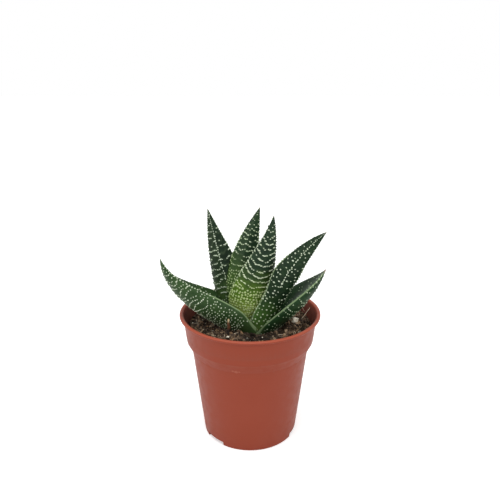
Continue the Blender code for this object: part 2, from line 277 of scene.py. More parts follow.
def buildSpecks():
    # scattered round specks of one size, as dust, pores and grains are
    group, takes, gives = startGroup("specks", {"Pitch": 0.002, "Size": 0.2, "Share": 0.5}, ["Mask"])
    scale = maths(group, "DIVIDE", 1.0, takes["Pitch"])
    cells = addNode(group, "ShaderNodeTexVoronoi", {"Vector": ownPlace(group), "Scale": scale},
                    feature="F1").outputs
    lucky = addNode(group, "ShaderNodeSeparateColor", {"Color": cells["Color"]}).outputs[0]
    there = maths(group, "LESS_THAN", lucky, takes["Share"])
    dot = ramp(group, cells["Distance"], times(group, takes["Size"], 0.6), takes["Size"], 1.0, 0.0)
    group.links.new(times(group, dot, there), gives["Mask"])
    return group


mottle = buildMottle()
specks = buildSpecks()


def mottled(tree, size, contrast, first=colour(0.5, 0.5, 0.5), second=colour(0.4, 0.4, 0.4)):
    return useGroup(tree, mottle, {"First": first, "Second": second, "Size": size, "Contrast": contrast})


def speckled(tree, pitch, size, share):
    return useGroup(tree, specks, {"Pitch": pitch, "Size": size, "Share": share})["Mask"]


def makeStage():
    look = dict(distance=203.4058, height=141.926, tilt=72.1815, lens=40.313, sensor=36, nearest=5,
                floorSize=6.0, floorGlow=0.38, roomLight=0.76, aim=(0, 0, 0.05))
    deselectAll()
    bpy.ops.object.camera_add(location=(0, -look["distance"] * mm, look["height"] * mm),
                              rotation=(math.radians(look["tilt"]), 0, 0))
    camera = bpy.context.object
    camera.name = "photoCamera"
    camera.data.lens = look["lens"]
    camera.data.sensor_width = look["sensor"]
    camera.data.clip_start = look["nearest"] * mm
    bpy.context.scene.camera = camera

    world = bpy.data.worlds.new("whiteStudio")
    bpy.context.scene.world = world
    world.use_nodes = True
    sky, plain = world.node_tree, world.node_tree.nodes["Background"]
    plain.inputs["Color"].default_value = colour(1, 1, 1)
    seen = addNode(sky, "ShaderNodeLightPath").outputs["Is Camera Ray"]
    sky.links.new(ramp(sky, seen, 0.0, 1.0, look["roomLight"], 1.0, "LINEAR"), plain.inputs["Strength"])
    lamps = {
        "overheadBox": dict(place=(-0.06, -0.16, 0.62), size=0.5, power=1.3),
        "rightBox": dict(place=(0.40, -0.32, 0.38), size=0.35, power=0.55),
        "leftBox": dict(place=(-0.45, -0.30, 0.34), size=0.35, power=0.6),
    }
    for name, lamp in lamps.items():
        deselectAll()
        bpy.ops.object.light_add(type="AREA", location=lamp["place"])
        light = bpy.context.object
        light.name = name
        light.data.shape = "DISK"
        light.data.size = lamp["size"]
        light.data.energy = lamp["power"]
        aim = Vector(look["aim"]) - Vector(lamp["place"])
        light.rotation_euler = aim.to_track_quat("-Z", "Y").to_euler()

    deselectAll()
    bpy.ops.mesh.primitive_grid_add(x_subdivisions=12, y_subdivisions=12, size=look["floorSize"])
    floor = named("paleFloor")
    finish, tree, shader = startMaterial("paleFloorPaint", Roughness=0.9, Specular_IOR_Level=0.0,
                                         Emission_Color=colour(1, 1, 1))
    seen = addNode(tree, "ShaderNodeLightPath").outputs["Is Camera Ray"]
    tree.links.new(times(tree, seen, look["floorGlow"]), shader.inputs["Emission Strength"])
    tones = mottled(tree, 50 * mm, 0.2, colour(0.97, 0.97, 0.97), colour(0.955, 0.955, 0.955))
    tree.links.new(tones["Colour"], shader.inputs["Base Color"])
    dress(floor, finish)
    bpy.context.scene.view_settings.view_transform = "Standard"


makeStage()
print("camera and light")


# notchWidth is an angle. dust (peat dust with painted shade), slope (painted lighter), line (a painted shade
# line) and lip (a painted highlight) run between heights, wallRadius and wallSlope part the inner wall from
# the outer one, a mark has its place, radius and tone, and a share is a tone's strength.
potLook = dict(
    columns=96, notchAzimuth=222.0, notches=3, notchWidth=28.0, notchHeight=1.7, notchDepth=5.2,
    footRadius=18.8, notchRadius=18.6, drainLength=6.0, drainWidth=3.2, drainRadius=12.0, drainDepth=14,
    roughness=0.40, wallRadius=20.75, wallSlope=0.11, dustShadeFoot=(42.5, 43.5), dustShadeTop=(50.7, 50.0),
    dustShadeShare=0.80, slope=((35.6, 36.3), (40.5, 39.9)), line=((39.0, 39.4), (40.3, 39.9)), shadeLineShare=0.06,
    lip=(50.8, 51.3), lipShare=0.6, markShare=0.8, dotShare=0.55, clay=colour(0.268, 0.046, 0.0205),
    clayPale=colour(0.276, 0.049, 0.0225), dirtAndShade=colour(0.190, 0.070, 0.052),
    lipHighlight=colour(0.42, 0.095, 0.052), slopeLight=colour(0.290, 0.052, 0.0243),
    marks=[((21.7, -7.26, 34.7), 0.50, colour(0.06, 0.02, 0.01)),
           ((20.37, -8.45, 27.7), 0.55, colour(0.06, 0.02, 0.01)),
           ((-6.3, -22.6, 37.4), 0.6, colour(0.36, 0.10, 0.06)),
           ((-5.1, -22.9, 37.1), 0.9, colour(0.36, 0.10, 0.06)),
           ((-3.9, -23.1, 37.3), 0.5, colour(0.36, 0.10, 0.06))],
)
# radius and height along the pot's section
potOutside = [
    (0, 0), (7, 0), (7.2, 2), (16.8, 2), (16.8, 0.25), (17.05, 0), (18.5, 0), (18.8, 0.3), (19.0, 2.0),
    (20.9, 18.0), (23.05, 36.1), (23.1, 36.45), (23.25, 36.85), (24.2, 38.75), (24.95, 40.2), (25.12, 40.5),
    (25.2, 40.85), (25.24, 41.3), (25.75, 45.6), (26.25, 49.7), (26.32, 50.0), (26.6, 50.2), (27.1, 50.3),
    (27.42, 50.4), (27.62, 50.6), (27.7, 50.88), (27.64, 51.18), (27.42, 51.4), (27.1, 51.5), (26.75, 51.48),
    (26.42, 51.34), (26.22, 51.1), (26.1, 50.7)]
potInside = [
    (25.75, 50.0), (25.35, 47.5), (24.2, 41.1), (21.95, 36.7), (18.7, 4.4), (18.3, 3.55), (17.6, 3.3),
    (0, 3.3)]


def spinUp(name, profile, steps):
    # one point drawn along the profile and spun round the axis
    deselectAll()
    bpy.ops.mesh.primitive_plane_add(size=mm)
    piece = named(name)
    bpy.ops.object.mode_set(mode="EDIT")
    bpy.ops.mesh.merge(type="CENTER")
    here = (0, 0)
    for k, (radius, height) in enumerate(profile):
        step = ((radius - here[0]) * mm, 0, (height - here[1]) * mm)
        if k == 0:
            bpy.ops.transform.translate(value=step)
        else:
            bpy.ops.mesh.extrude_region_move(TRANSFORM_OT_translate={"value": step})
        here = (radius, height)
    bpy.ops.mesh.select_all(action="SELECT")
    bpy.ops.mesh.spin(steps=steps, angle=2 * math.pi, center=(0, 0, 0), axis=(0, 0, 1))
    leaveEdit()
    tidySkin(piece)
    return piece


def potFinish():
    finish, tree, shader = startMaterial("terracottaPlastic", IOR=1.5, Specular_IOR_Level=0.2)
    place = ownPlace(tree)
    height, rough = apartOf(tree, place)["Z"], potLook["roughness"]
    slope, line = (band(tree, height, *map(inMetres, potLook[key])) for key in ("slope", "line"))
    # peat dust clings to the inner wall, down to the soil, and painted shade darkens the inside along with
    # it
    wall = potLook["wallRadius"] * mm
    fromWall = maths(tree, "SUBTRACT", fromAxis(tree, place), times(tree, height, potLook["wallSlope"]))
    wallSide = ramp(tree, fromWall, wall, wall - 0.15 * mm)
    outside = ramp(tree, wallSide, 1.0, 0.0)
    dustShadeHeight = times(tree, ramp(tree, height, *inMetres(potLook["dustShadeTop"]), 0.0, potLook["dustShadeShare"]),
                  ramp(tree, height, *inMetres(potLook["dustShadeFoot"])))
    clumps = ramp(tree, mottled(tree, 1.2 * mm, 0.7)["Value"], 0.0, 1.0, 0.8, 1.0)
    dustAndShade = times(tree, wallSide, dustShadeHeight, clumps)
    shade = mottled(tree, 12 * mm, 0.1, potLook["clay"], potLook["clayPale"])["Colour"]
    dots = times(tree, speckled(tree, 4.2 * mm, 0.045, 0.35), potLook["dotShare"])
    shade = mixColour(tree, dots, shade, potLook["dirtAndShade"])
    # the slope under the collar is painted a little lighter, as painted light against the shade it takes
    # facing down, with a fine painted shade line along its upper edge
    shade = mixColour(tree, times(tree, outside, slope), shade, potLook["slopeLight"])
    # painted shade: a fine dark line where the collar overhangs the slope
    shade = mixColour(tree, times(tree, outside, line, potLook["shadeLineShare"]), shade, colour(0, 0, 0))
    # painted highlight: the lip is painted paler along its top
    lip = ramp(tree, height, *inMetres(potLook["lip"]), 0.0, potLook["lipShare"])
    shade = mixColour(tree, lip, shade, potLook["lipHighlight"])
    # two dark specks and a pale scuff
    for spot, size, tone in potLook["marks"]:
        mark = ramp(tree, fromSpot(tree, place, inMetres(spot)), size * mm, size * 0.5 * mm)
        shade = mixColour(tree, times(tree, mark, potLook["markShare"]), shade, tone)
    # peat dust and painted shade: the inner wall is painted darker
    shade = mixColour(tree, dustAndShade, shade, potLook["dirtAndShade"])
    scuff = ramp(tree, mottled(tree, 3 * mm, 0.5)["Value"], 0.0, 1.0, rough - 0.05, rough + 0.07)
    duller = maths(tree, "ADD", times(tree, dustAndShade, 0.4), times(tree, slope, 0.1))
    feed(tree, shader, shade, maths(tree, "ADD", scuff, duller))
    # drawn-out flow of the moulded plastic, and a very fine pebble
    flow = addNode(tree, "ShaderNodeMapping", {"Vector": place, "Scale": (90.0, 90.0, 22.0)}).outputs
    waves, pebble = noiseOf(tree, flow["Vector"], 3.0, 2.0), noiseOf(tree, place, 2600.0, 2.0)
    bumpInto(tree, shader, maths(tree, "ADD", waves, times(tree, pebble, 0.10)), 0.03 * mm, 0.35)
    return finish


def makePot():
    pot = spinUp("nurseryPot", potOutside + potInside, potLook["columns"])
    notchRoom = 2 * potLook["footRadius"] * math.sin(math.radians(potLook["notchWidth"] / 2))
    for k in range(potLook["notches"]):
        azimuth = math.radians(potLook["notchAzimuth"] + 360 / potLook["notches"] * k)
        facing = Vector((math.cos(azimuth), math.sin(azimuth), 0))
        notch = (potLook["notchDepth"], notchRoom, 2 * potLook["notchHeight"])
        drain = (potLook["drainLength"], potLook["drainWidth"], potLook["drainDepth"])
        for out, size in ((potLook["notchRadius"], notch), (potLook["drainRadius"], drain)):
            deselectAll()
            bpy.ops.mesh.primitive_cube_add(size=mm, location=facing * out * mm, rotation=(0, 0, azimuth),
                                            scale=size)
            tool = named("cutBlock")
            cutAway(pot, tool)
            bpy.data.objects.remove(tool)
    smoothBy(pot, 32)
    dress(pot, potFinish())
    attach(pot, "root")
    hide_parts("pot")
    return pot


pot = makePot()
print("pot", len(pot.data.polygons), "faces")


# For all leaves: innerThickness is the inner side's bulge against half the width, baseFlare the share over
# which the root widens, axis the rosette's place, roundness the power of the section's arc, keelReach the
# share over which the keel's ridge grows. gap is the air between leaves, with gapSpare for the flat faces of
# a cutting skin. domeRoom is how near another leaf may come to a tubercle, ridgeHeight the swelling under a
# band, fullHalf adds to a tubercle's size by the leaf's half width. Sizes are width, length and height.
leafMake = dict(
    rings=104, outerColumns=32, innerColumns=14, innerThickness=0.13, baseFlare=0.24, axis=(1.5, 3.5),
    roundness=2.4, keelReach=0.4, gap=0.15, gapSpare=0.12, domeRoom=0.30, ridgeHeight=0.13, fullHalf=6.0,
    toothSize=(0.52, 0.68, 0.30), beadSize=(0.46, 0.72, 0.26))
outerShare = leafMake["outerColumns"] / (leafMake["outerColumns"] + leafMake["innerColumns"])

# Form: seat is the root's distance from the rosette's axis and its height, root its azimuth; turn is the
# azimuth in which the leaf runs at root and tip, rise its slope at root, middle and tip, face the azimuth of
# its outer side, curl the radius across it. base is the root's width as a share, point how late the sides
# run in to the tip, bulge the outer side's swelling, keel where its ridge starts. fuller widens the leaf and
# sway moves it sideways, each about a share, with reach and amount. heel lengthens the root.
# Bands: pitch is their distance along the leaf, spacing the distance of tubercles in a band, dot their
# width, length and height. smile lifts a band at the margins, peak at the keel, slant at one side, and
# wander makes it uneven. keep is the share of tubercles at root, middle and tip, barer the share of them
# missing on one half, link the share of those drawn out along the band.
# Loose ones: scatter is their distance at the root, scatterDot their size against dot, scatterFrom and
# scatterTo their reach; innerPitch and innerKeep are for the inner side. tooth and bead are the distances
# of teeth at the margins and beads on the keel, teethFrom and beadsFrom where they start.
# Paint: deep and fresh are the green's two tones, young is the tone towards the root, within youngReach and
# slanted by youngLean, pearl and youngPearl colour the tubercles. pale lines the margin, lineWidth wide, as
# strong as paleEdge and up to edgeReach, and paints one side paler by paintedSideLight, as painted light.
# rootToneAndLight, the root's paler tone, brightened as painted light where the leaves shade it, covers the
# root up to rootReach, tip the end from tipShare.
plainLeaf = dict(
    base=0.48, point=1.5, bulge=0.36, keel=0.35, fuller=(), sway=(0.5, 0.1, 0.0), heel=0.0, smile=0.6,
    peak=0.8, slant=0.0, wander=1.0, keep=(0.6, 0.85, 0.9), barer=0.0, link=0.5, scatterDot=(0.7, 1.1),
    scatterFrom=0.06, scatterTo=0.3, innerPitch=2.4, innerKeep=0.4, tooth=1.2, teethFrom=0.28, bead=1.4,
    deep=(0.010, 0.025, 0.012), fresh=(0.019, 0.045, 0.019), pale=(0.27, 0.37, 0.19),
    pearl=(0.62, 0.69, 0.52), youngLean=0.0, paleEdge=0.45, edgeReach=0.7, lineWidth=0.22,
    paintedSideLight=0.0, rootToneAndLight=(0.16, 0.20, 0.07), rootShare=0.5, rootReach=0.13,
    tip=(0.30, 0.28, 0.16), tipShare=0.975)
leaves = {
    "leaf_right_upper": dict(
        seat=(8.0, 45.0), root=295, turn=(309, 369), rise=(74, 61, 38), length=49.3, halfWidth=4.9,
        face=(291, 223), curl=(11.5, 13.1), base=1.20, point=3.5, keel=0.30,
        fuller=((0.57, 0.10, 0.13), (0.33, 0.13, -0.13)), sway=(0.33, 0.13, 0.6),
        pitch=1.85, spacing=1.35, dot=(0.62, 0.52, 0.24), smile=1.6, peak=-0.4, wander=1.8,
        keep=(0.6, 0.72, 0.55), link=0.35,
        scatter=1.65, scatterDot=(1.15, 1.3), bead=1.1, beadsFrom=0.45, seed=3,
        deep=(0.007, 0.020, 0.009), fresh=(0.011, 0.031, 0.011),
        young=(0.070, 0.155, 0.030), youngReach=(0.08, 0.38),
        pearl=(0.62, 0.69, 0.54), youngPearl=(0.42, 0.52, 0.30), paleEdge=0.8, edgeReach=0.60,
        lineWidth=0.55,
        rootToneAndLight=(0.110, 0.170, 0.035)),
    "leaf_front": dict(
        seat=(5.2, 45.4), root=246, turn=(328, 328), rise=(91, 71.5, 84), length=48.2, halfWidth=10.5,
        face=(277, 283), curl=(10.3, 16.2), base=0.46, point=1.35, bulge=0.28, keel=0.85,
        pitch=2.3, spacing=0.82, dot=(0.74, 0.54, 0.28), smile=3.0, peak=0.0, wander=0.9,
        keep=(0.8, 0.93, 0.85), link=0.6,
        scatter=1.08, scatterDot=(1.25, 1.75), scatterTo=0.36, seed=5,
        deep=(0.011, 0.026, 0.014), fresh=(0.020, 0.045, 0.021),
        young=(0.118, 0.225, 0.022), youngReach=(0.26, 0.58),
        pearl=(0.68, 0.75, 0.58), youngPearl=(0.44, 0.56, 0.20), paleEdge=0.7, edgeReach=0.55,
        lineWidth=0.40,
        rootToneAndLight=(0.41, 0.52, 0.12), rootShare=0.8, rootReach=0.28),
    "leaf_centre": dict(
        seat=(2.6, 46.8), root=197, turn=(190, 216), rise=(67, 101, 113), length=46.9, halfWidth=7.9,
        face=(251, 247), curl=(9.9, 12.9), base=0.50, point=2.0, bulge=0.38,
        pitch=2.05, spacing=0.95, dot=(0.74, 0.50, 0.26), smile=0.9, wander=1.3, keep=(0.85, 0.9, 0.65),
        scatter=1.1, scatterDot=(0.9, 1.5), scatterTo=0.46, tooth=1.15, bead=1.5, beadsFrom=0.93, seed=8,
        deep=(0.008, 0.022, 0.010), fresh=(0.014, 0.040, 0.013),
        young=(0.057, 0.121, 0.018), youngReach=(0.32, 0.62), youngLean=0.06,
        pearl=(0.54, 0.62, 0.44), youngPearl=(0.36, 0.47, 0.20), paleEdge=0.9, edgeReach=0.68,
        lineWidth=0.60, paintedSideLight=0.06),
    "leaf_bud": dict(
        seat=(1.2, 49.0), root=60, turn=(60, 145), rise=(80, 82, 88), length=30.0, halfWidth=4.4,
        face=(60, 70), curl=(6, 9),
        pitch=2.0, spacing=0.9, dot=(0.75, 0.45, 0.22), peak=0.4,
        scatter=1.0, tooth=1.1, seed=11,
        young=(0.110, 0.190, 0.035), youngReach=(0.25, 0.60),
        paleEdge=0.4, edgeReach=0.9),
    "leaf_left_upper": dict(
        seat=(4.4, 45.8), root=166, turn=(168, 160), rise=(68, 72.5, 76.5), length=47.4, halfWidth=9.6,
        face=(255, 277), curl=(11.3, 14.0), base=0.50, point=1.3, bulge=0.38, keel=0.30,
        pitch=2.55, spacing=0.95, dot=(0.86, 0.50, 0.27), smile=0.3, peak=0.9, slant=1.2, wander=1.3,
        keep=(0.75, 0.8, 0.72), barer=0.4, link=0.6,
        scatter=1.2, scatterTo=0.28, tooth=1.35, bead=1.05, beadsFrom=0.2, seed=13,
        deep=(0.0075, 0.0185, 0.0085), fresh=(0.013, 0.031, 0.0135),
        young=(0.085, 0.165, 0.040), youngReach=(0.18, 0.46),
        pearl=(0.56, 0.63, 0.50), paleEdge=0.4, edgeReach=0.9, paintedSideLight=0.08),
    "leaf_back": dict(
        seat=(4.3, 46.2), root=85, turn=(88, 121), rise=(62, 78, 88), length=37.2, halfWidth=8.5,
        face=(88, 86), curl=(10, 15),
        pitch=2.4, spacing=0.95, dot=(0.95, 0.48, 0.24), smile=0.8, keep=(0.8, 0.9, 0.9), link=0.7,
        scatter=1.2, scatterTo=0.2, seed=17,
        young=(0.080, 0.145, 0.030), youngReach=(0.18, 0.45)),
    "leaf_back_right": dict(
        seat=(5.0, 44.2), root=38, turn=(40, 25), rise=(38, 54, 64), length=30.7, halfWidth=8.5,
        face=(40, 34), curl=(11, 12),
        pitch=2.4, spacing=1.15, dot=(0.85, 0.55, 0.25),
        scatter=1.4, scatterDot=(0.8, 1.1), seed=19,
        young=(0.055, 0.090, 0.024), youngReach=(0.10, 0.35)),
    "leaf_back_left": dict(
        seat=(5.0, 44.2), root=140, turn=(138, 150), rise=(42, 67, 74), length=35.3, halfWidth=9.0,
        face=(140, 144), curl=(11, 12),
        pitch=2.4, spacing=1.1, dot=(0.88, 0.55, 0.25), link=0.55,
        scatter=1.4, scatterDot=(0.8, 1.1), seed=23,
        young=(0.055, 0.090, 0.024), youngReach=(0.10, 0.35)),
    "leaf_right_lower": dict(
        seat=(5.2, 44.2), root=312, turn=(334, 334), rise=(45.6, 46.6, 60.4), length=38.6, halfWidth=9.7,
        face=(350, 345), curl=(13.2, 9.6), base=0.82, point=3.1, keel=0.90, heel=0.09,
        pitch=2.2, spacing=1.1, dot=(0.52, 0.44, 0.20), peak=0.0, wander=2.0, keep=(0.8, 0.85, 0.85),
        link=0.25,
        scatter=1.6, scatterDot=(0.95, 1.1), scatterTo=0.35, innerPitch=1.7, innerKeep=0.5, tooth=1.3,
        teethFrom=0.8, seed=31,
        deep=(0.008, 0.028, 0.009), fresh=(0.014, 0.044, 0.013),
        young=(0.040, 0.078, 0.022), youngReach=(0.05, 0.25),
        pearl=(0.46, 0.54, 0.39), paleEdge=0.7, edgeReach=0.95,
        rootToneAndLight=(0.34, 0.42, 0.17), rootShare=0.8, rootReach=0.06, tip=(0.24, 0.045, 0.025),
        tipShare=0.95),
    "leaf_left_lower": dict(
        seat=(5.2, 44.4), root=214, turn=(202, 190), rise=(43, 38, 77), length=46.0, halfWidth=12.1,
        face=(199, 207), curl=(11.7, 6.8), base=0.83, point=2.4, bulge=0.40, keel=0.90, heel=0.14,
        pitch=1.85, spacing=0.88, dot=(0.54, 0.47, 0.22), smile=0.8, peak=0.0, wander=2.2,
        keep=(0.9, 0.95, 0.95), link=0.25,
        scatter=1.2, scatterDot=(1.0, 1.05), scatterFrom=0.12, scatterTo=0.46, innerPitch=1.7,
        innerKeep=0.75, teethFrom=0.5, seed=29,
        deep=(0.019, 0.047, 0.014), fresh=(0.038, 0.080, 0.024),
        young=(0.040, 0.078, 0.022), youngReach=(0.05, 0.25),
        pearl=(0.64, 0.71, 0.55), paleEdge=0.8, edgeReach=0.45,
        rootToneAndLight=(0.34, 0.42, 0.17), rootShare=0.8, rootReach=0.0),
}
# a leaf that doesn't say so is plain, with its beads from just above the start of the keel
for leaf in leaves.values():
    for key, value in plainLeaf.items():
        leaf.setdefault(key, value)
    leaf.setdefault("beadsFrom", leaf["keel"] + 0.08)
    youngPearl = [0.7 * pearl + 0.3 * young for pearl, young in zip(leaf["pearl"], leaf["young"])]
    leaf.setdefault("youngPearl", tuple(youngPearl))
    leaf["youngFrom"], leaf["youngTo"] = leaf["youngReach"]


def slopeAt(leaf, share):
    first, middle, last = leaf["rise"]
    return np.radians((1 - share) * (1 - 2 * share) * first + 4 * share * (1 - share) * middle
                      + share * (2 * share - 1) * last)


def directionAt(leaf, share):
    azimuth, angle = np.radians(blend(leaf["turn"], share)), slopeAt(leaf, share)
    return np.stack([np.cos(angle) * np.cos(azimuth), np.cos(angle) * np.sin(azimuth), np.sin(angle)], -1)


def halfWidthAt(leaf, share):
    share = np.maximum(share, 0.0)
    flare = np.minimum(share / leafMake["baseFlare"], 1.0)
    flare = leaf["base"] + (1 - leaf["base"]) * flare * flare * (3 - 2 * flare)
    fuller = 1 + sum(amount * np.exp(-((share - at) / reach) ** 2) for at, reach, amount in leaf["fuller"])
    return np.maximum(leaf["halfWidth"] * flare * fuller * (1 - share ** leaf["point"]), 0.05)


def drawAxis(leaf):
    # the leaf's middle line from root to tip, with its outward and sideways directions
    steps, heel = 400, leaf["heel"]
    share = np.linspace(-heel, 1, steps + 1)
    stride = (1 + heel) / steps
    walk = directionAt(leaf, share[:-1] + stride / 2) * (leaf["length"] * stride)
    azimuth = math.radians(leaf["root"])
    seat = np.array([leafMake["axis"][0] + leaf["seat"][0] * math.cos(azimuth),
                     leafMake["axis"][1] + leaf["seat"][0] * math.sin(azimuth), leaf["seat"][1]])
    centre = np.vstack([np.zeros(3), np.cumsum(walk, 0)])
    centre += seat - np.array([np.interp(0.0, share, centre[:, k]) for k in range(3)])
    along = directionAt(leaf, share)
    face = np.radians(blend(leaf["face"], share))
    outward = np.stack([np.cos(face), np.sin(face), np.full_like(face, -0.25)], -1)
    outward -= (outward * along).sum(-1, keepdims=True) * along
    outward /= np.linalg.norm(outward, axis=-1, keepdims=True)
    leaf["line"] = dict(share=share, middle=centre, outward=outward, sideways=np.cross(along, outward))


def alongLine(leaf, share, which):
    stations, table = leaf["line"]["share"], leaf["line"][which]
    return np.stack([np.interp(share, stations, table[:, k]) for k in range(3)], -1)


def bandBow(leaf, u):
    return leaf["smile"] * u * u + leaf["peak"] * (1 - np.abs(u)) + leaf["slant"] * u


def bandPhase(leaf, share, u):
    # whole numbers are the middles of the tubercle bands
    t = share * leaf["length"]
    seed = leaf["seed"]
    wander = 0.12 * np.sin(t * 0.9 + u * 5.0 + seed) + 0.10 * np.sin(u * 11.0 - t * 0.35 + seed * 2.0)
    return (t - bandBow(leaf, u)) / leaf["pitch"] + wander * leaf["wander"]


def skinPoint(leaf, share, u, outer, swell=0.0, extra=0.0):
    # across, from -1 to 1 in u, the leaf is an arc, with a bulge outside and a thin inside
    half = halfWidthAt(leaf, share) + swell
    radius = blend(leaf["curl"], share)
    angle = u * half / radius
    roundPart = np.sqrt(np.maximum(1 - np.abs(u) ** leafMake["roundness"], 0))
    keel = np.clip((share - leaf["keel"]) / leafMake["keelReach"], 0, 1)
    shape = (1 - keel) * roundPart + keel * (0.8 * (1 - np.abs(u)) + 0.2 * roundPart)
    lift = np.where(outer, (leaf["bulge"] * half + swell) * shape + extra,
                    -(leafMake["innerThickness"] * half + swell) * roundPart - extra)
    side, out = (radius + lift) * np.sin(angle), (radius + lift) * np.cos(angle) - radius
    swayAt, swayReach, sway = leaf["sway"]
    side = side + sway * np.exp(-((share - swayAt) / swayReach) ** 2)
    return (alongLine(leaf, share, "middle") + alongLine(leaf, share, "sideways") * side[..., None]
            + alongLine(leaf, share, "outward") * out[..., None])


def aroundToSide(around):
    # turns the place round the leaf, 0 to 1, into u and the side, with closer columns at the margins
    outer = around <= outerShare + 1e-6
    s = np.where(outer, 2 * around / outerShare - 1, 1 - 2 * (around - outerShare) / (1 - outerShare))
    s = np.clip(s, -1, 1)
    return s * (1.25 - 0.25 * s * s), outer


def sideToAround(u, outer):
    # the other way round
    s = u
    for _ in range(6):
        s = u / (1.25 - 0.25 * s * s)
    return (s + 1) / 2 * outerShare if outer else outerShare + (1 - s) / 2 * (1 - outerShare)


def ridgeLift(leaf, share, u, outer):
    # low swellings under the bands
    ridge = np.maximum(np.cos(2 * np.pi * bandPhase(leaf, share, u)), 0) ** 2
    room = np.clip((1 - np.abs(u)) / 0.15, 0, 1) * np.clip(share / 0.1, 0, 1)
    room = room * np.clip((1 - share) / 0.15, 0, 1)
    past = np.clip((share - leaf["scatterTo"]) / 0.12, 0, 1)
    return np.where(outer, leafMake["ridgeHeight"] * leaf["link"] * ridge * room * past, 0.0)


def leafSkin(name, leaf, swell=0.0, coarse=False):
    columns, rings = leafMake["outerColumns"] + leafMake["innerColumns"], leafMake["rings"]
    if coarse:
        columns, rings = columns // 2, rings // 2
    deselectAll()
    bpy.ops.mesh.primitive_grid_add(x_subdivisions=columns, y_subdivisions=rings, size=1.0)
    skin = named(name)
    flat = meshPoints(skin)
    share = (flat[:, 1] + 0.5) * (1 + leaf["heel"]) - leaf["heel"]
    u, outer = aroundToSide(flat[:, 0] + 0.5)
    extra = 0.0 if swell else ridgeLift(leaf, share, u, outer)
    points = skinPoint(leaf, share, u, outer, swell, extra)
    points[share > 1 - 1e-6] = leaf["line"]["middle"][-1]
    setPoints(skin, points * mm)
    skin.data.uv_layers[0].name = "leafMap"
    tidySkin(skin)
    return skin


def makeDome():
    # one tubercle: the upper part of a ball, drawn out at its foot and closed underneath
    deselectAll()
    bpy.ops.mesh.primitive_uv_sphere_add(segments=8, ring_count=8, radius=1.0)
    dome = named("tubercle")
    editAll(dome)
    bpy.ops.mesh.bisect(plane_co=(0, 0, -0.15), plane_no=(0, 0, 1), use_fill=True, clear_inner=True)
    leaveEdit()
    points = meshPoints(dome)
    foot = np.clip((0.35 - points[:, 2]) / 0.5, 0, 1)
    points[:, :2] *= (1 + 0.22 * foot ** 2)[:, None]
    setPoints(dome, points)
    shape = (meshPoints(dome), facesOf(dome))
    bpy.data.objects.remove(dome)
    return shape


def acrossMetric(leaf, share, u, outer):
    # mm of skin for a step of 1 in u
    low, high = max(u - 0.01, -0.999), min(u + 0.01, 0.999)
    ends = skinPoint(leaf, np.array([share, share]), np.array([low, high]), np.array([outer, outer]))
    return float(np.linalg.norm(ends[1] - ends[0])) / (high - low)


def smallBy(leaf, share, least):
    # tubercles are smaller where the leaf is narrow
    return min(1.0, least + float(halfWidthAt(leaf, np.array(share))) / leafMake["fullHalf"])


def rowDomes(leaf, draw):
    # tubercles in bands over the outer side, each with share, u, outer, width, length, height and turn
    places = []
    width, length, height = leaf["dot"]
    total, pitch = leaf["length"], leaf["pitch"]
    for row in range(1, int(total / pitch) + 3):
        u = -0.985 + draw.uniform(0, 0.04)
        while u < 0.985:
            bow = bandBow(leaf, u)
            t = pitch * row + bow
            for _ in range(2):
                wander = bandPhase(leaf, t / total, u) - (t - bow) / pitch
                t = pitch * (row - wander) + bow
            share = t / total
            inside = min(max(share, 0.01), 0.99)
            step = leaf["spacing"] * draw.uniform(0.8, 1.25) / max(acrossMetric(leaf, inside, u, True), 0.3)
            small = smallBy(leaf, min(max(share, 0.0), 1.0), 0.45)
            keep = np.interp(share, [0.1, 0.5, 0.95], leaf["keep"]) * (1 - leaf["barer"] * (u > 0.1))
            if leaf["scatterTo"] < share < 0.975 and draw.random() < keep:
                stretch = 1.35 if draw.random() < leaf["link"] else 0.85
                size = draw.uniform(0.75, 1.2) * small
                turn = draw.gauss(0.0, 0.22)
                places.append((share + draw.uniform(-0.16, 0.16) / total, u, True, width * size * stretch,
                               length * size, height * size, turn))
            u += step * (0.9 if small > 0.7 else 0.8)
    return places


def scatterDomes(leaf, draw):
    # loose tubercles at the root, and a few over the inner side
    places = []
    width, length, height = leaf["dot"]
    wider, longer = leaf["scatterDot"]
    total = leaf["length"]
    fields = ((True, leaf["scatterFrom"], leaf["scatterTo"], leaf["scatter"], 0.95),
              (False, 0.25, 0.96, leaf["innerPitch"], leaf["innerKeep"]))
    for outer, first, last, pitch, keep in fields:
        for row in range(max(int((last - first) * total / pitch), 0)):
            share = first + (row + 0.5) * pitch / total
            u = -0.97 + draw.uniform(0, 0.08)
            while u < 0.97:
                there = u
                u += pitch * draw.uniform(0.75, 1.25) / max(acrossMetric(leaf, share, u, outer), 0.3)
                if draw.random() > keep:
                    continue
                size = draw.uniform(0.7, 1.1)
                places.append((share + draw.uniform(-0.35, 0.35) * pitch / total, there, outer,
                               width * wider * size, length * longer * size, height * size,
                               draw.gauss(0.0, 0.3)))
    return places


def edgeDomes(leaf, draw):
    # teeth along both margins and beads along the keel
    places = []
    total = leaf["length"]
    width, length, height = leafMake["toothSize"]
    for side in (-1, 1):
        t = leaf["teethFrom"] * total
        while t < 0.985 * total:
            small = smallBy(leaf, t / total, 0.4)
            size = draw.uniform(0.8, 1.15) * small
            places.append((t / total, side * 0.995, True, width * size, length * size, height * size,
                           draw.gauss(0, 0.1)))
            t += leaf["tooth"] * draw.uniform(0.85, 1.2) * max(small, 0.6)
    width, length, height = leafMake["beadSize"]
    t = leaf["beadsFrom"] * total
    while t < 0.98 * total and leaf["keel"] < 0.8:
        small = smallBy(leaf, t / total, 0.4)
        places.append((t / total, draw.uniform(-0.02, 0.02), True, width * small, length * small,
                       height * small, 0.0))
        t += leaf["bead"] * draw.uniform(0.8, 1.25) * max(small, 0.6)
    return places


def unit(vectors):
    return vectors / np.linalg.norm(vectors, axis=1, keepdims=True)


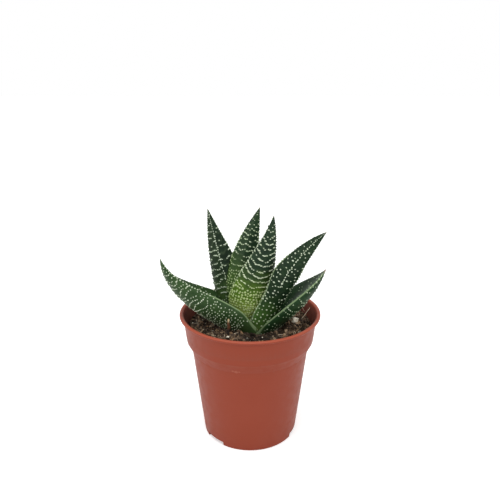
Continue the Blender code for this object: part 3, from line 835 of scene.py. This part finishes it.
def standDomes(leaf, share, u, outer, turn):
    # where each tubercle stands on the skin, and its directions across, along and up
    def skinAt(shares, sides, more=0.0):
        return skinPoint(leaf, shares, sides, outer, 0.0, ridgeLift(leaf, shares, sides, outer) + more)

    step, limit = 0.001, 0.999
    middle = skinAt(share, u)
    alongWay = unit(skinAt(share + step, u) - skinAt(share - step, u))
    acrossWay = skinAt(share, np.minimum(u + step, limit)) - skinAt(share, np.maximum(u - step, -limit))
    edge = np.abs(u) > 0.99
    acrossWay[edge] = alongLine(leaf, share[edge], "outward")      # a tooth points sideways
    acrossWay = unit(acrossWay - (acrossWay * alongWay).sum(1, keepdims=True) * alongWay)
    up = np.cross(acrossWay, alongWay)
    lifted = skinAt(share, u, 0.1) - middle
    outside = np.where(edge[:, None], alongLine(leaf, share, "sideways") * np.sign(u)[:, None], lifted)
    up *= np.sign((up * outside).sum(1, keepdims=True))
    wide = acrossWay * np.cos(turn)[:, None] + alongWay * np.sin(turn)[:, None]
    return middle, wide, np.cross(up, wide), up


def growDomes(name, leaf, ownTree, otherTrees, dome):
    draw = random.Random(leaf["seed"])
    places = np.array(rowDomes(leaf, draw) + scatterDomes(leaf, draw) + edgeDomes(leaf, draw))
    share, u, outer = np.clip(places[:, 0], 0.02, 0.985), places[:, 1], places[:, 2] > 0.5
    middle, wide, long, up = standDomes(leaf, share, u, outer, places[:, 6])
    shape, faces = dome
    points, skinMap, crown, joined = [], [], [], []
    for k, (width, length, height) in enumerate(places[:, 3:6]):
        spot = Vector(middle[k] * mm)
        near = ownTree.find_nearest(spot, 0.4 * mm)[0]
        if near is None or (near - spot).length > 0.2 * mm:
            continue                                        # cut away there
        if any(tree.find_nearest(spot, leafMake["domeRoom"] * mm)[0] is not None for tree in otherTrees):
            continue                                        # pressed on by another leaf
        first = len(points) * len(shape)
        points.append(middle[k] + wide[k] * (shape[:, :1] * width / 2)
                      + long[k] * (shape[:, 1:2] * length / 2) + up[k] * (shape[:, 2:] * height))
        skinMap.append((sideToAround(u[k], outer[k]), (share[k] + leaf["heel"]) / (1 + leaf["heel"])))
        crown.append((np.clip((shape[:, 2] + 0.15) / 0.8, 0.02, 1), draw.random()))
        joined += [tuple(first + v for v in face) for face in faces]
    mesh = meshFrom(name, points, joined)
    layer = mesh.uv_layers.new(name="leafMap")
    owner = np.repeat(np.arange(len(points)), sum(len(face) for face in faces))
    layer.data.foreach_set("uv", np.array(skinMap)[owner].ravel())
    # pearlMarks holds the height on a tubercle, its tone and, on the skin, the swelling under a band
    marks = mesh.attributes.new("pearlMarks", "FLOAT_VECTOR", "POINT")
    values = [np.stack([rise, np.full_like(rise, tone), np.zeros_like(rise)], -1) for rise, tone in crown]
    marks.data.foreach_set("vector", np.concatenate(values).ravel())
    return linked(name, mesh), len(points)


def markSkin(piece, leaf):
    # leafPlace on every point: u, share, and mm from the margin, below 0 on the inner side
    mesh = piece.data
    corner = np.zeros(len(mesh.loops), int)
    mesh.loops.foreach_get("vertex_index", corner)
    flat = np.zeros(len(mesh.loops) * 2)
    mesh.uv_layers["leafMap"].data.foreach_get("uv", flat)
    flat = flat.reshape(-1, 2)
    perPoint = np.zeros((len(mesh.vertices), 2))
    perPoint[corner] = flat
    u, outer = aroundToSide(np.clip(perPoint[:, 0], 0, 1))
    share = np.clip(perPoint[:, 1], 0, 1) * (1 + leaf["heel"]) - leaf["heel"]
    margin = (1 - np.abs(u)) * halfWidthAt(leaf, share)
    place = mesh.attributes.new("leafPlace", "FLOAT_VECTOR", "POINT")
    place.data.foreach_set("vector", np.stack([u, share, np.where(outer, margin, -margin)], -1).ravel())
    marks = mesh.attributes["pearlMarks"]
    values = np.zeros(len(mesh.vertices) * 3)
    marks.data.foreach_get("vector", values)
    values = values.reshape(-1, 3)
    values[:, 2] = ridgeLift(leaf, share, u, outer) / leafMake["ridgeHeight"]
    marks.data.foreach_set("vector", values.ravel())


leafTones = ["deep", "fresh", "young", "pale", "pearl", "tip", "rootToneAndLight", "youngPearl"]
leafShares = ["youngFrom", "youngTo", "youngLean", "paleEdge", "edgeReach", "lineWidth", "paintedSideLight",
              "rootShare", "rootReach", "tipShare"]


def buildLeafPaint():
    # the leaf's colour, the height of its fine grain and where tubercles are; each input is a key of a leaf
    inputs = {**{key: colour(0.1, 0.2, 0.1) for key in leafTones}, **{key: 0.5 for key in leafShares}}
    group, takes, gives = startGroup("leafPaint", inputs, ["Colour", "Height", "Crown"])
    place = addNode(group, "ShaderNodeAttribute", attribute_name="leafPlace").outputs["Vector"]
    marks = addNode(group, "ShaderNodeAttribute", attribute_name="pearlMarks").outputs["Vector"]
    place, marks = apartOf(group, place), apartOf(group, marks)
    across, share, margin = place["X"], place["Y"], place["Z"]
    tones = mottled(group, 3.5 * mm, 0.35, takes["deep"], takes["fresh"])
    green, pale = tones["Colour"], takes["pale"]
    # towards the root the skin is younger and lighter
    wobble = times(group, maths(group, "SUBTRACT", tones["Value"], 0.5), 0.10)
    lean = times(group, across, takes["youngLean"])
    leaned = maths(group, "ADD", maths(group, "ADD", share, wobble), lean)
    young = ramp(group, leaned, takes["youngTo"], takes["youngFrom"])
    flecks = times(group, mottled(group, 1.1 * mm, 0.5)["Value"], 0.34)
    skin = mixColour(group, young, green, mixColour(group, flecks, takes["young"], green))
    # the inner side stays greener and the swellings are paler; one side of the keel is painted paler, as
    # painted light where light falls on that facet
    skin = mixColour(group, ramp(group, margin, 0.0, -1.2, 0.0, 0.55), skin, green)
    side = times(group, ramp(group, across, 0.08, -0.12), takes["paintedSideLight"], 0.5)
    skin = mixColour(group, side, skin, pale)
    skin = mixColour(group, times(group, marks["Z"], 0.15), skin, pale)
    # the pale margin widens towards the root
    width = times(group, takes["lineWidth"], ramp(group, share, 0.18, 0.02, 1.0, 2.6))
    line = ramp(group, maths(group, "ABSOLUTE", margin), width, times(group, width, 0.3))
    reach = ramp(group, share, maths(group, "ADD", takes["edgeReach"], 0.15), takes["edgeReach"])
    skin = mixColour(group, times(group, line, reach, takes["paleEdge"]), skin, pale)
    skin = mixColour(group, ramp(group, share, takes["tipShare"], 1.0), skin, takes["tip"])
    # the root's own paler tone, made brighter at the front leaf as painted light against the shade between
    # the leaves
    rootPaleAndLit = ramp(group, share, takes["rootReach"], maths(group, "SUBTRACT", takes["rootReach"], 0.13))
    skin = mixColour(group, times(group, rootPaleAndLit, takes["rootShare"]), skin, takes["rootToneAndLight"])
    # no two tubercles have quite the same tone
    pearl = mixColour(group, ramp(group, marks["Y"], 0.0, 1.0, 0.0, 0.8, "LINEAR"), takes["pearl"],
                      mixColour(group, 0.3, pale, takes["pearl"]))
    pearl = mixColour(group, times(group, young, 0.85), pearl, takes["youngPearl"])
    crown = ramp(group, marks["X"], 0.22, 0.75)
    spot = ownPlace(group)
    fine, coarse = noiseOf(group, spot, 3500.0, 2.0), noiseOf(group, spot, 900.0, 3.0)
    group.links.new(mixColour(group, crown, skin, pearl), gives["Colour"])
    group.links.new(maths(group, "ADD", times(group, fine, 0.4), coarse), gives["Height"])
    group.links.new(crown, gives["Crown"])
    return group


leafPaint = buildLeafPaint()


def leafFinish(name, leaf):
    finish, tree, shader = startMaterial(name + "Skin", IOR=1.45, Specular_IOR_Level=0.15)
    paint = useGroup(tree, leafPaint, {**{key: colour(*leaf[key]) for key in leafTones},
                                       **{key: leaf[key] for key in leafShares}})
    feed(tree, shader, paint["Colour"], ramp(tree, paint["Crown"], 0.0, 1.0, 0.44, 0.58))
    bumpInto(tree, shader, paint["Height"], 0.06 * mm, 0.6)
    return finish


def makeLeaves():
    # each leaf is cut back where it would cross an earlier one, by a slightly swollen skin of that one
    dome = makeDome()
    skins, spaces = {}, []
    for name, leaf in leaves.items():
        drawAxis(leaf)
        skin = leafSkin(name.replace("leaf_", "skin_"), leaf)
        for tool, tree in spaces:
            if treeOf(skin).overlap(tree):
                cutAway(skin, tool)
                skin = keepLargest(skin)
        skins[name] = skin
        space = leafSkin("space_" + name, leaf, leafMake["gap"] + leafMake["gapSpare"], coarse=True)
        spaces.append((space, treeOf(space)))
        print("  skin", name, len(skin.data.polygons))
    for space, _ in spaces:
        bpy.data.objects.remove(space)
    trees = {name: treeOf(skin) for name, skin in skins.items()}
    for name, leaf in leaves.items():
        skin = skins[name]
        others = [tree for other, tree in trees.items() if other != name]
        domes, count = growDomes("domes_" + name, leaf, trees[name], others, dome)
        smoothBy(skin, 50)
        pickUp(skin)
        domes.select_set(True)
        bpy.ops.object.join()
        skin.name = skin.data.name = name.replace("leaf_", "pearledLeaf_")
        markSkin(skin, leaf)
        dress(skin, leafFinish(name, leaf))
        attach(skin, "root")
        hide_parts(name)
        print("  leaf", name, count, "tubercles,", len(skin.data.polygons), "faces")


makeLeaves()
print("leaves")


# level and floor are the heights of top and underside, rim where the section comes to the top. The last
# rows say where the peat is painted paler, as painted light (right, left), where painted shade darkens it
# (along the wall, mostly in front), and where the peat is darker (at the plant's foot).
soilLook = dict(
    level=46.5, heap=0.9, lump=0.55, crumb=0.5, dip=1.7, dipAt=(2.5, -10.0), dipReach=22.0, wallTop=24.45,
    floor=3.65, rim=0.30, columns=144, rings=64, dark=colour(0.024, 0.016, 0.012),
    brown=colour(0.17, 0.118, 0.080), grain=colour(0.26, 0.18, 0.115), fleck=colour(0.45, 0.38, 0.29),
    right=(9, 16), left=(-10, -18), leftShare=0.5, paler=colour(1.5, 1.44, 1.38), wall=(20.0, 22.8),
    front=(-20, -10), frontShadeShares=(0.75, 0.3), foot=(2.5, -14.5, 46), footReach=(8.5, 3.5), footShare=0.82,
    darkPeatAndShade=colour(0.012, 0.008, 0.006))


def soilHeight(x, y):
    # heaps, lumps and crumbs, lower along the wall and in a dip in front of the plant
    heap = noise.noise(Vector((x / 6.0, y / 6.0, 0))) * soilLook["heap"]
    lumps = noise.noise(Vector((x / 1.7, y / 1.7, 4.0))) * soilLook["lump"]
    lumps += abs(noise.noise(Vector((x / 0.8, y / 0.8, 9.0)))) * soilLook["crumb"]
    edge = max(0.0, (math.hypot(x, y) - 21.5) / 3.0)
    dipX, dipY = soilLook["dipAt"]
    dip = soilLook["dip"] * math.exp(-((x - dipX) ** 2 + (y - dipY) ** 2) / soilLook["dipReach"])
    return soilLook["level"] + heap + lumps - 0.8 * edge * edge - dip


def makeSoil():
    deselectAll()
    columns, rings = soilLook["columns"], soilLook["rings"]
    bpy.ops.mesh.primitive_grid_add(x_subdivisions=columns, y_subdivisions=rings, size=1.0)
    bed = named("peatBed")
    flat = meshPoints(bed)
    around, out = flat[:, 0] + 0.5, flat[:, 1] + 0.5
    # out runs from the middle of the bottom up the wall and back in over the top
    floor, rim, wallTop = soilLook["floor"], soilLook["rim"], soilLook["wallTop"]
    stations, radii, heights = zip((0.0, 0.0, floor), (0.10, 18.3, floor), (0.18, 21.6, 36.7),
                                   (0.24, 23.75, 41.1), (rim, wallTop, soilLook["level"] - 0.8))
    radius = np.where(out <= rim, np.interp(out, stations, radii), wallTop * (1 - (out - rim) / (1 - rim)))
    height = np.interp(out, stations, heights)
    points = np.stack([radius * np.cos(around * 2 * np.pi), radius * np.sin(around * 2 * np.pi), height], -1)
    for k in np.nonzero(out > rim + 0.01)[0]:
        points[k, 2] = soilHeight(points[k, 0], points[k, 1])
    points[out > 1 - 1e-6] = (0, 0, soilHeight(0, 0))
    points[out < 1e-6] = (0, 0, floor)
    setPoints(bed, points * mm)
    tidySkin(bed)
    smoothBy(bed, 60)
    return bed


def buildSoilTone():
    group, takes, gives = startGroup("soilTone", {"Shade": colour(0.1, 0.07, 0.05)}, ["Colour"])
    place = ownPlace(group)
    apart = apartOf(group, place)
    # painted light: the peat is painted paler at the right and the left, where the leaves shade it
    paler = maths(group, "MAXIMUM", ramp(group, apart["X"], *inMetres(soilLook["right"])),
                ramp(group, apart["X"], *inMetres(soilLook["left"]), 0.0, soilLook["leftShare"]))
    shade = mixColour(group, paler, takes["Shade"], soilLook["paler"], "MULTIPLY")
    # painted shade: darker along the wall, mostly in front; and darker peat round the plant's foot
    wall = times(group, ramp(group, fromAxis(group, place), *inMetres(soilLook["wall"])),
                 ramp(group, apart["Y"], *inMetres(soilLook["front"]), *soilLook["frontShadeShares"]))
    fromFoot = fromSpot(group, place, inMetres(soilLook["foot"]))
    foot = ramp(group, fromFoot, *inMetres(soilLook["footReach"]), 0.0, soilLook["footShare"])
    shade = mixColour(group, maths(group, "MAXIMUM", wall, foot), shade, soilLook["darkPeatAndShade"])
    group.links.new(shade, gives["Colour"])
    return group


soilTone = buildSoilTone()


def peatFinish():
    finish, tree, shader = startMaterial("darkPeat", Specular_IOR_Level=0.25)
    base = mottled(tree, 1.1 * mm, 0.8, soilLook["dark"], soilLook["brown"])
    grains = times(tree, speckled(tree, 1.1 * mm, 0.33, 0.30), 0.7)
    shade = mixColour(tree, grains, base["Colour"], soilLook["grain"])
    shade = mixColour(tree, speckled(tree, 2.4 * mm, 0.12, 0.25), shade, soilLook["fleck"])
    feed(tree, shader, useGroup(tree, soilTone, {"Shade": shade})["Colour"],
         ramp(tree, base["Value"], 0.0, 1.0, 0.8, 0.98))
    bumpInto(tree, shader, noiseOf(tree, ownPlace(tree), 1800.0, 4.0), 0.6 * mm, 0.9)
    return finish


# size is the smallest one and what is added to it at most, sink how far a crumb lies in or on the bed
crumbLook = dict(seed=7, count=2100, reach=23.6, size=(0.18, 0.72), sink=(-0.1, 0.45),
                 dark=colour(0.052, 0.034, 0.020), brown=colour(0.50, 0.345, 0.215),
                 tan=colour(0.50, 0.38, 0.26), shadow=colour(0.35, 0.33, 0.31))


def crumbFinish():
    # dark, brown and a few tan crumbs, one tone each
    finish, tree, shader = startMaterial("peatCrumb", Specular_IOR_Level=0.2)
    tone = addNode(tree, "ShaderNodeAttribute", attribute_name="grainTone").outputs["Fac"]
    shade = mixColour(tree, ramp(tree, tone, 0.40, 1.0), crumbLook["dark"], crumbLook["brown"])
    shade = mixColour(tree, ramp(tree, tone, 0.88, 0.96), shade, crumbLook["tan"])
    base = mottled(tree, 0.5 * mm, 0.7, crumbLook["shadow"], colour(1.0, 1.0, 1.0))
    shade = mixColour(tree, 1.0, shade, base["Colour"], "MULTIPLY")
    feed(tree, shader, useGroup(tree, soilTone, {"Shade": shade})["Colour"],
         ramp(tree, base["Value"], 0.0, 1.0, 0.85, 0.98))
    bumpInto(tree, shader, base["Value"], 0.15 * mm, 0.8)
    return finish


def plainFinish(name, look):
    finish, tree, shader = startMaterial(name)
    tones = mottled(tree, look["grain"] * mm, 0.6, look["dark"], look["light"])
    rough = ramp(tree, tones["Value"], 0.0, 1.0, look["roughness"] - 0.08, look["roughness"] + 0.05)
    feed(tree, shader, tones["Colour"], rough)
    bumpInto(tree, shader, tones["Value"], look["grain"] * mm * 0.12, 0.7)
    return finish


def crumbShape(seed, stretch):
    # an irregular grain of a few dozen faces
    deselectAll()
    bpy.ops.mesh.primitive_ico_sphere_add(subdivisions=2, radius=1.0)
    grain = named("grain")
    points = meshPoints(grain)
    for k, point in enumerate(points):
        points[k] = point * (1 + 0.55 * noise.noise(Vector(point) * 1.3 + Vector((seed * 7.0, 0, 0))))
    points *= np.array(stretch)
    shape = (points, facesOf(grain))
    bpy.data.objects.remove(grain)
    return shape


def strew(name, shapes, spots, finish, smooth=True):
    # copies of the shapes at the spots (x, y, z, size, turn matrix), each with its own mesh, in one piece
    points, faces, total = [], [], 0
    for k, (x, y, z, size, turn) in enumerate(spots):
        shape, shapeFaces = shapes[k % len(shapes)]
        points.append((shape * size) @ np.array(turn).T + np.array([x, y, z]))
        faces += [tuple(total + v for v in face) for face in shapeFaces]
        total += len(shape)
    mesh = meshFrom(name, points, faces, smooth)
    tone = mesh.attributes.new("grainTone", "FLOAT", "POINT")
    draw = random.Random(len(spots))
    tone.data.foreach_set("value", np.repeat([draw.random() for _ in spots], [len(part) for part in points]))
    piece = linked(name, mesh)
    dress(piece, finish)
    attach(piece, "root")


def anyTurn(draw, tilt=math.pi):
    return Euler((draw.uniform(-tilt, tilt), draw.uniform(-tilt, tilt),
                  draw.uniform(0, 2 * math.pi))).to_matrix()


def groundAt(bedTree, x, y):
    # the soil's height in mm, or None beside it
    hit = bedTree.ray_cast(Vector((x, y, 60)) * mm, Vector((0, 0, -1)))[0]
    return None if hit is None else hit.z / mm


def openSpot(draw, bedTree, reach=24.0):
    # a spot on the soil that no leaf covers closely
    while True:
        radius = reach * math.sqrt(draw.random())
        angle = draw.uniform(0, 2 * math.pi)
        x, y = radius * math.cos(angle), radius * math.sin(angle)
        ground = groundAt(bedTree, x, y)
        if ground is not None and (radius > 9 or draw.random() < 0.2):
            return x, y, ground


# front lists the ones that stand out, of bark with x, y and size, of perlite with x, y, z, size and tilt.
# The others lie anywhere, raised by lift and tilted up to tilt. Tilts are in radians.
barkLook = dict(
    count=90, size=(0.25, 0.6), lift=0.15, tilt=0.6, frontLift=0.25, frontTilt=0.5,
    front=[(-10.6, -9.3, 0.75), (-7.2, -10.1, 0.7), (-3.1, -10.9, 0.95), (10.0, -8.8, 0.8),
           (12.6, -12.0, 0.5), (15.3, -10.5, 0.6), (-16.5, -4.5, 0.6), (-14.6, -6.2, 0.5)],
    dark=colour(0.22, 0.12, 0.06), light=colour(0.40, 0.25, 0.13), grain=0.6, roughness=0.8)
perliteLook = dict(
    count=46, size=(0.14, 0.34), lift=0.1, tilt=math.pi,
    front=[(17.6, -2.4, 48.4, 1.45, 0.3), (-8.3, -14.0, 46.9, 0.58, 0.4)],
    dark=colour(0.88, 0.80, 0.60), light=colour(0.97, 0.94, 0.82), grain=0.5, roughness=0.9)


def anySpots(draw, bedTree, look):
    spots = []
    for _ in range(look["count"]):
        x, y, z = openSpot(draw, bedTree)
        spots.append((x, y, z + look["lift"], draw.uniform(*look["size"]), anyTurn(draw, look["tilt"])))
    return spots


def makeCrumbs(bed):
    draw = random.Random(crumbLook["seed"])
    bedTree = treeOf(bed)
    lumps = [crumbShape(1, (1, 0.8, 0.7)), crumbShape(2, (1, 0.9, 0.6)), crumbShape(3, (1.2, 0.7, 0.6)),
             crumbShape(4, (0.9, 0.9, 0.8))]
    chips = [crumbShape(5, (1.5, 0.7, 0.28)), crumbShape(6, (1.2, 0.8, 0.3)),
             crumbShape(8, (1.9, 0.5, 0.25))]
    smallest, more = crumbLook["size"]
    spots = []
    for _ in range(crumbLook["count"]):
        x, y, z = openSpot(draw, bedTree, crumbLook["reach"])
        size = smallest + more * draw.random() ** 2.2
        spots.append((x, y, z + size * draw.uniform(*crumbLook["sink"]), size, anyTurn(draw)))
    strew("peatCrumbs", lumps, spots, crumbFinish())
    lift, tilt = barkLook["frontLift"], barkLook["frontTilt"]
    spots = [(x, y, groundAt(bedTree, x, y) + lift, size, anyTurn(draw, tilt))
             for x, y, size in barkLook["front"]]
    spots += anySpots(draw, bedTree, barkLook)
    strew("barkChips", chips, spots, plainFinish("tanBark", barkLook))
    spots = [(x, y, z, size, anyTurn(draw, tilt)) for x, y, z, size, tilt in perliteLook["front"]]
    spots += anySpots(draw, bedTree, perliteLook)
    strew("perliteGrains", lumps, spots, plainFinish("perlite", perliteLook), smooth=False)


# foot and top are places, dryFrom and darkFootFrom the heights between which the end turns pale and the
# foot dark
scrapLook = dict(
    foot=(-8.6, -12.8, 47.2), top=(-7.7, -12.4, 53.6), width=0.95, thickness=0.35, dryFrom=(51.8, 53.0),
    darkFootFrom=(50.2, 48.8), dark=colour(0.07, 0.024, 0.008), light=colour(0.15, 0.055, 0.018),
    paler=colour(0.66, 0.52, 0.30), darkFoot=colour(0.020, 0.012, 0.008))


def makeScrap():
    # a dry brown scrap that stands against the left lower leaf, dark at its foot and pale at its end
    foot, top = Vector(scrapLook["foot"]) * mm, Vector(scrapLook["top"]) * mm
    deselectAll()
    bpy.ops.mesh.primitive_cylinder_add(vertices=10, radius=1.0, depth=1.0, location=(0, 0, 0.5),
                                        end_fill_type="TRIFAN")
    scrap = named("dryScrap")
    bpy.ops.object.transform_apply(location=True, rotation=True, scale=True)
    editAll(scrap)
    bpy.ops.mesh.subdivide(number_cuts=3)
    leaveEdit()
    points = meshPoints(scrap)
    share = points[:, 2].copy()
    taper = 0.35 + 0.65 * np.sin(np.pi * np.clip(0.15 + 0.8 * share, 0, 1)) ** 0.8
    wrinkle = np.array([noise.noise(Vector(point) * 2.6) for point in points])
    points[:, 0] *= scrapLook["width"] / 2 * mm * taper * (1 + 0.5 * wrinkle)
    points[:, 1] *= scrapLook["thickness"] / 2 * mm * taper * (1 + 0.5 * wrinkle)
    line = np.array(foot)[None] + (np.array(top) - np.array(foot))[None] * share[:, None]
    line[:, 0] += 0.35 * mm * np.sin(share * 5.0)
    line[:, 1] += 0.20 * mm * np.sin(share * 4.0 + 1.0)
    points[:, 2] = 0
    setPoints(scrap, line + points)
    tidySkin(scrap)
    smoothBy(scrap, 60)
    finish, tree, shader = startMaterial("dryBrown")
    height = apartOf(tree, ownPlace(tree))["Z"]
    tones = mottled(tree, 0.9 * mm, 0.6, scrapLook["dark"], scrapLook["light"])
    paler, darkFoot = (ramp(tree, height, *inMetres(scrapLook[key])) for key in ("dryFrom", "darkFootFrom"))
    shade = mixColour(tree, paler, tones["Colour"], scrapLook["paler"])
    # darker towards the foot
    shade = mixColour(tree, darkFoot, shade, scrapLook["darkFoot"])
    feed(tree, shader, shade, ramp(tree, tones["Value"], 0.0, 1.0, 0.6, 0.8))
    bumpInto(tree, shader, tones["Value"], 0.1 * mm, 0.7)
    dress(scrap, finish)
    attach(scrap, "root")


# length and bend (in radians) vary from fibre to fibre, lift and rise are for their ends and their middle,
# wall is the pot's, and routes are the two that stand up at the right
fibreLook = dict(
    seed=41, count=44, reach=23.0, wall=23.6, length=(1.2, 3.6), bend=(-1.0, 1.0), points=4, lift=0.12,
    rise=0.35, thickness=0.085, varied=(0.7, 1.25),
    routes=[[(20.6, 1.2, 47.2), (21.8, 2.6, 48.2), (23.2, 4.8, 48.9), (24.4, 6.8, 49.6)],
            [(21.3, 12.0, 47.8), (21.5, 10.8, 48.4), (22.0, 9.6, 47.9), (22.5, 8.6, 47.2)]],
    dark=colour(0.55, 0.44, 0.30), light=colour(0.80, 0.70, 0.54), grain=1.0, roughness=0.8)


def anyRoute(draw, bedTree):
    # a bent line over the soil, or a short one where it comes to the wall
    x, y, _ = openSpot(draw, bedTree, fibreLook["reach"])
    angle, length = draw.uniform(0, 2 * math.pi), draw.uniform(*fibreLook["length"])
    bend = draw.uniform(*fibreLook["bend"])
    route = []
    for step in range(fibreLook["points"]):
        s = step / (fibreLook["points"] - 1)
        px = x + math.cos(angle + bend * s) * length * s
        py = y + math.sin(angle + bend * s) * length * s
        if math.hypot(px, py) > fibreLook["wall"]:
            break
        rise = fibreLook["rise"] * math.sin(math.pi * s) * draw.random()
        route.append((px, py, groundAt(bedTree, px, py) + fibreLook["lift"] + rise))
    return route


def makeFibres(bed):
    # thin pale roots and peat fibres
    draw = random.Random(fibreLook["seed"])
    bedTree = treeOf(bed)
    routes = fibreLook["routes"] + [anyRoute(draw, bedTree) for _ in range(fibreLook["count"])]
    routes = [route for route in routes if len(route) == fibreLook["points"]]
    curve = bpy.data.curves.new("rootFibres", "CURVE")
    curve.dimensions = "3D"
    curve.bevel_depth = fibreLook["thickness"] * mm
    curve.bevel_resolution = 1
    curve.use_fill_caps = True
    for route in routes:
        spline = curve.splines.new("NURBS")
        spline.points.add(len(route) - 1)
        spline.use_endpoint_u = True
        spline.order_u = 4
        for point, place in zip(spline.points, route):
            point.co = (*[c * mm for c in place], 1.0)
            point.radius = draw.uniform(*fibreLook["varied"])
    pickUp(linked("rootFibres", curve))
    bpy.ops.object.convert(target="MESH")
    piece = named("rootFibres")
    dress(piece, plainFinish("paleFibre", fibreLook))
    piece.data.shade_smooth()
    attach(piece, "root")


bed = makeSoil()
dress(bed, peatFinish())
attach(bed, "root")
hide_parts("soil")
makeCrumbs(bed)
makeFibres(bed)
makeScrap()
print("soil")


stemLook = dict(dark=colour(0.16, 0.13, 0.06), light=colour(0.26, 0.21, 0.10), grain=1.2, roughness=0.7)
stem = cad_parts["stem"]
dress(stem, plainFinish("stemTissue", stemLook))
print("stem")
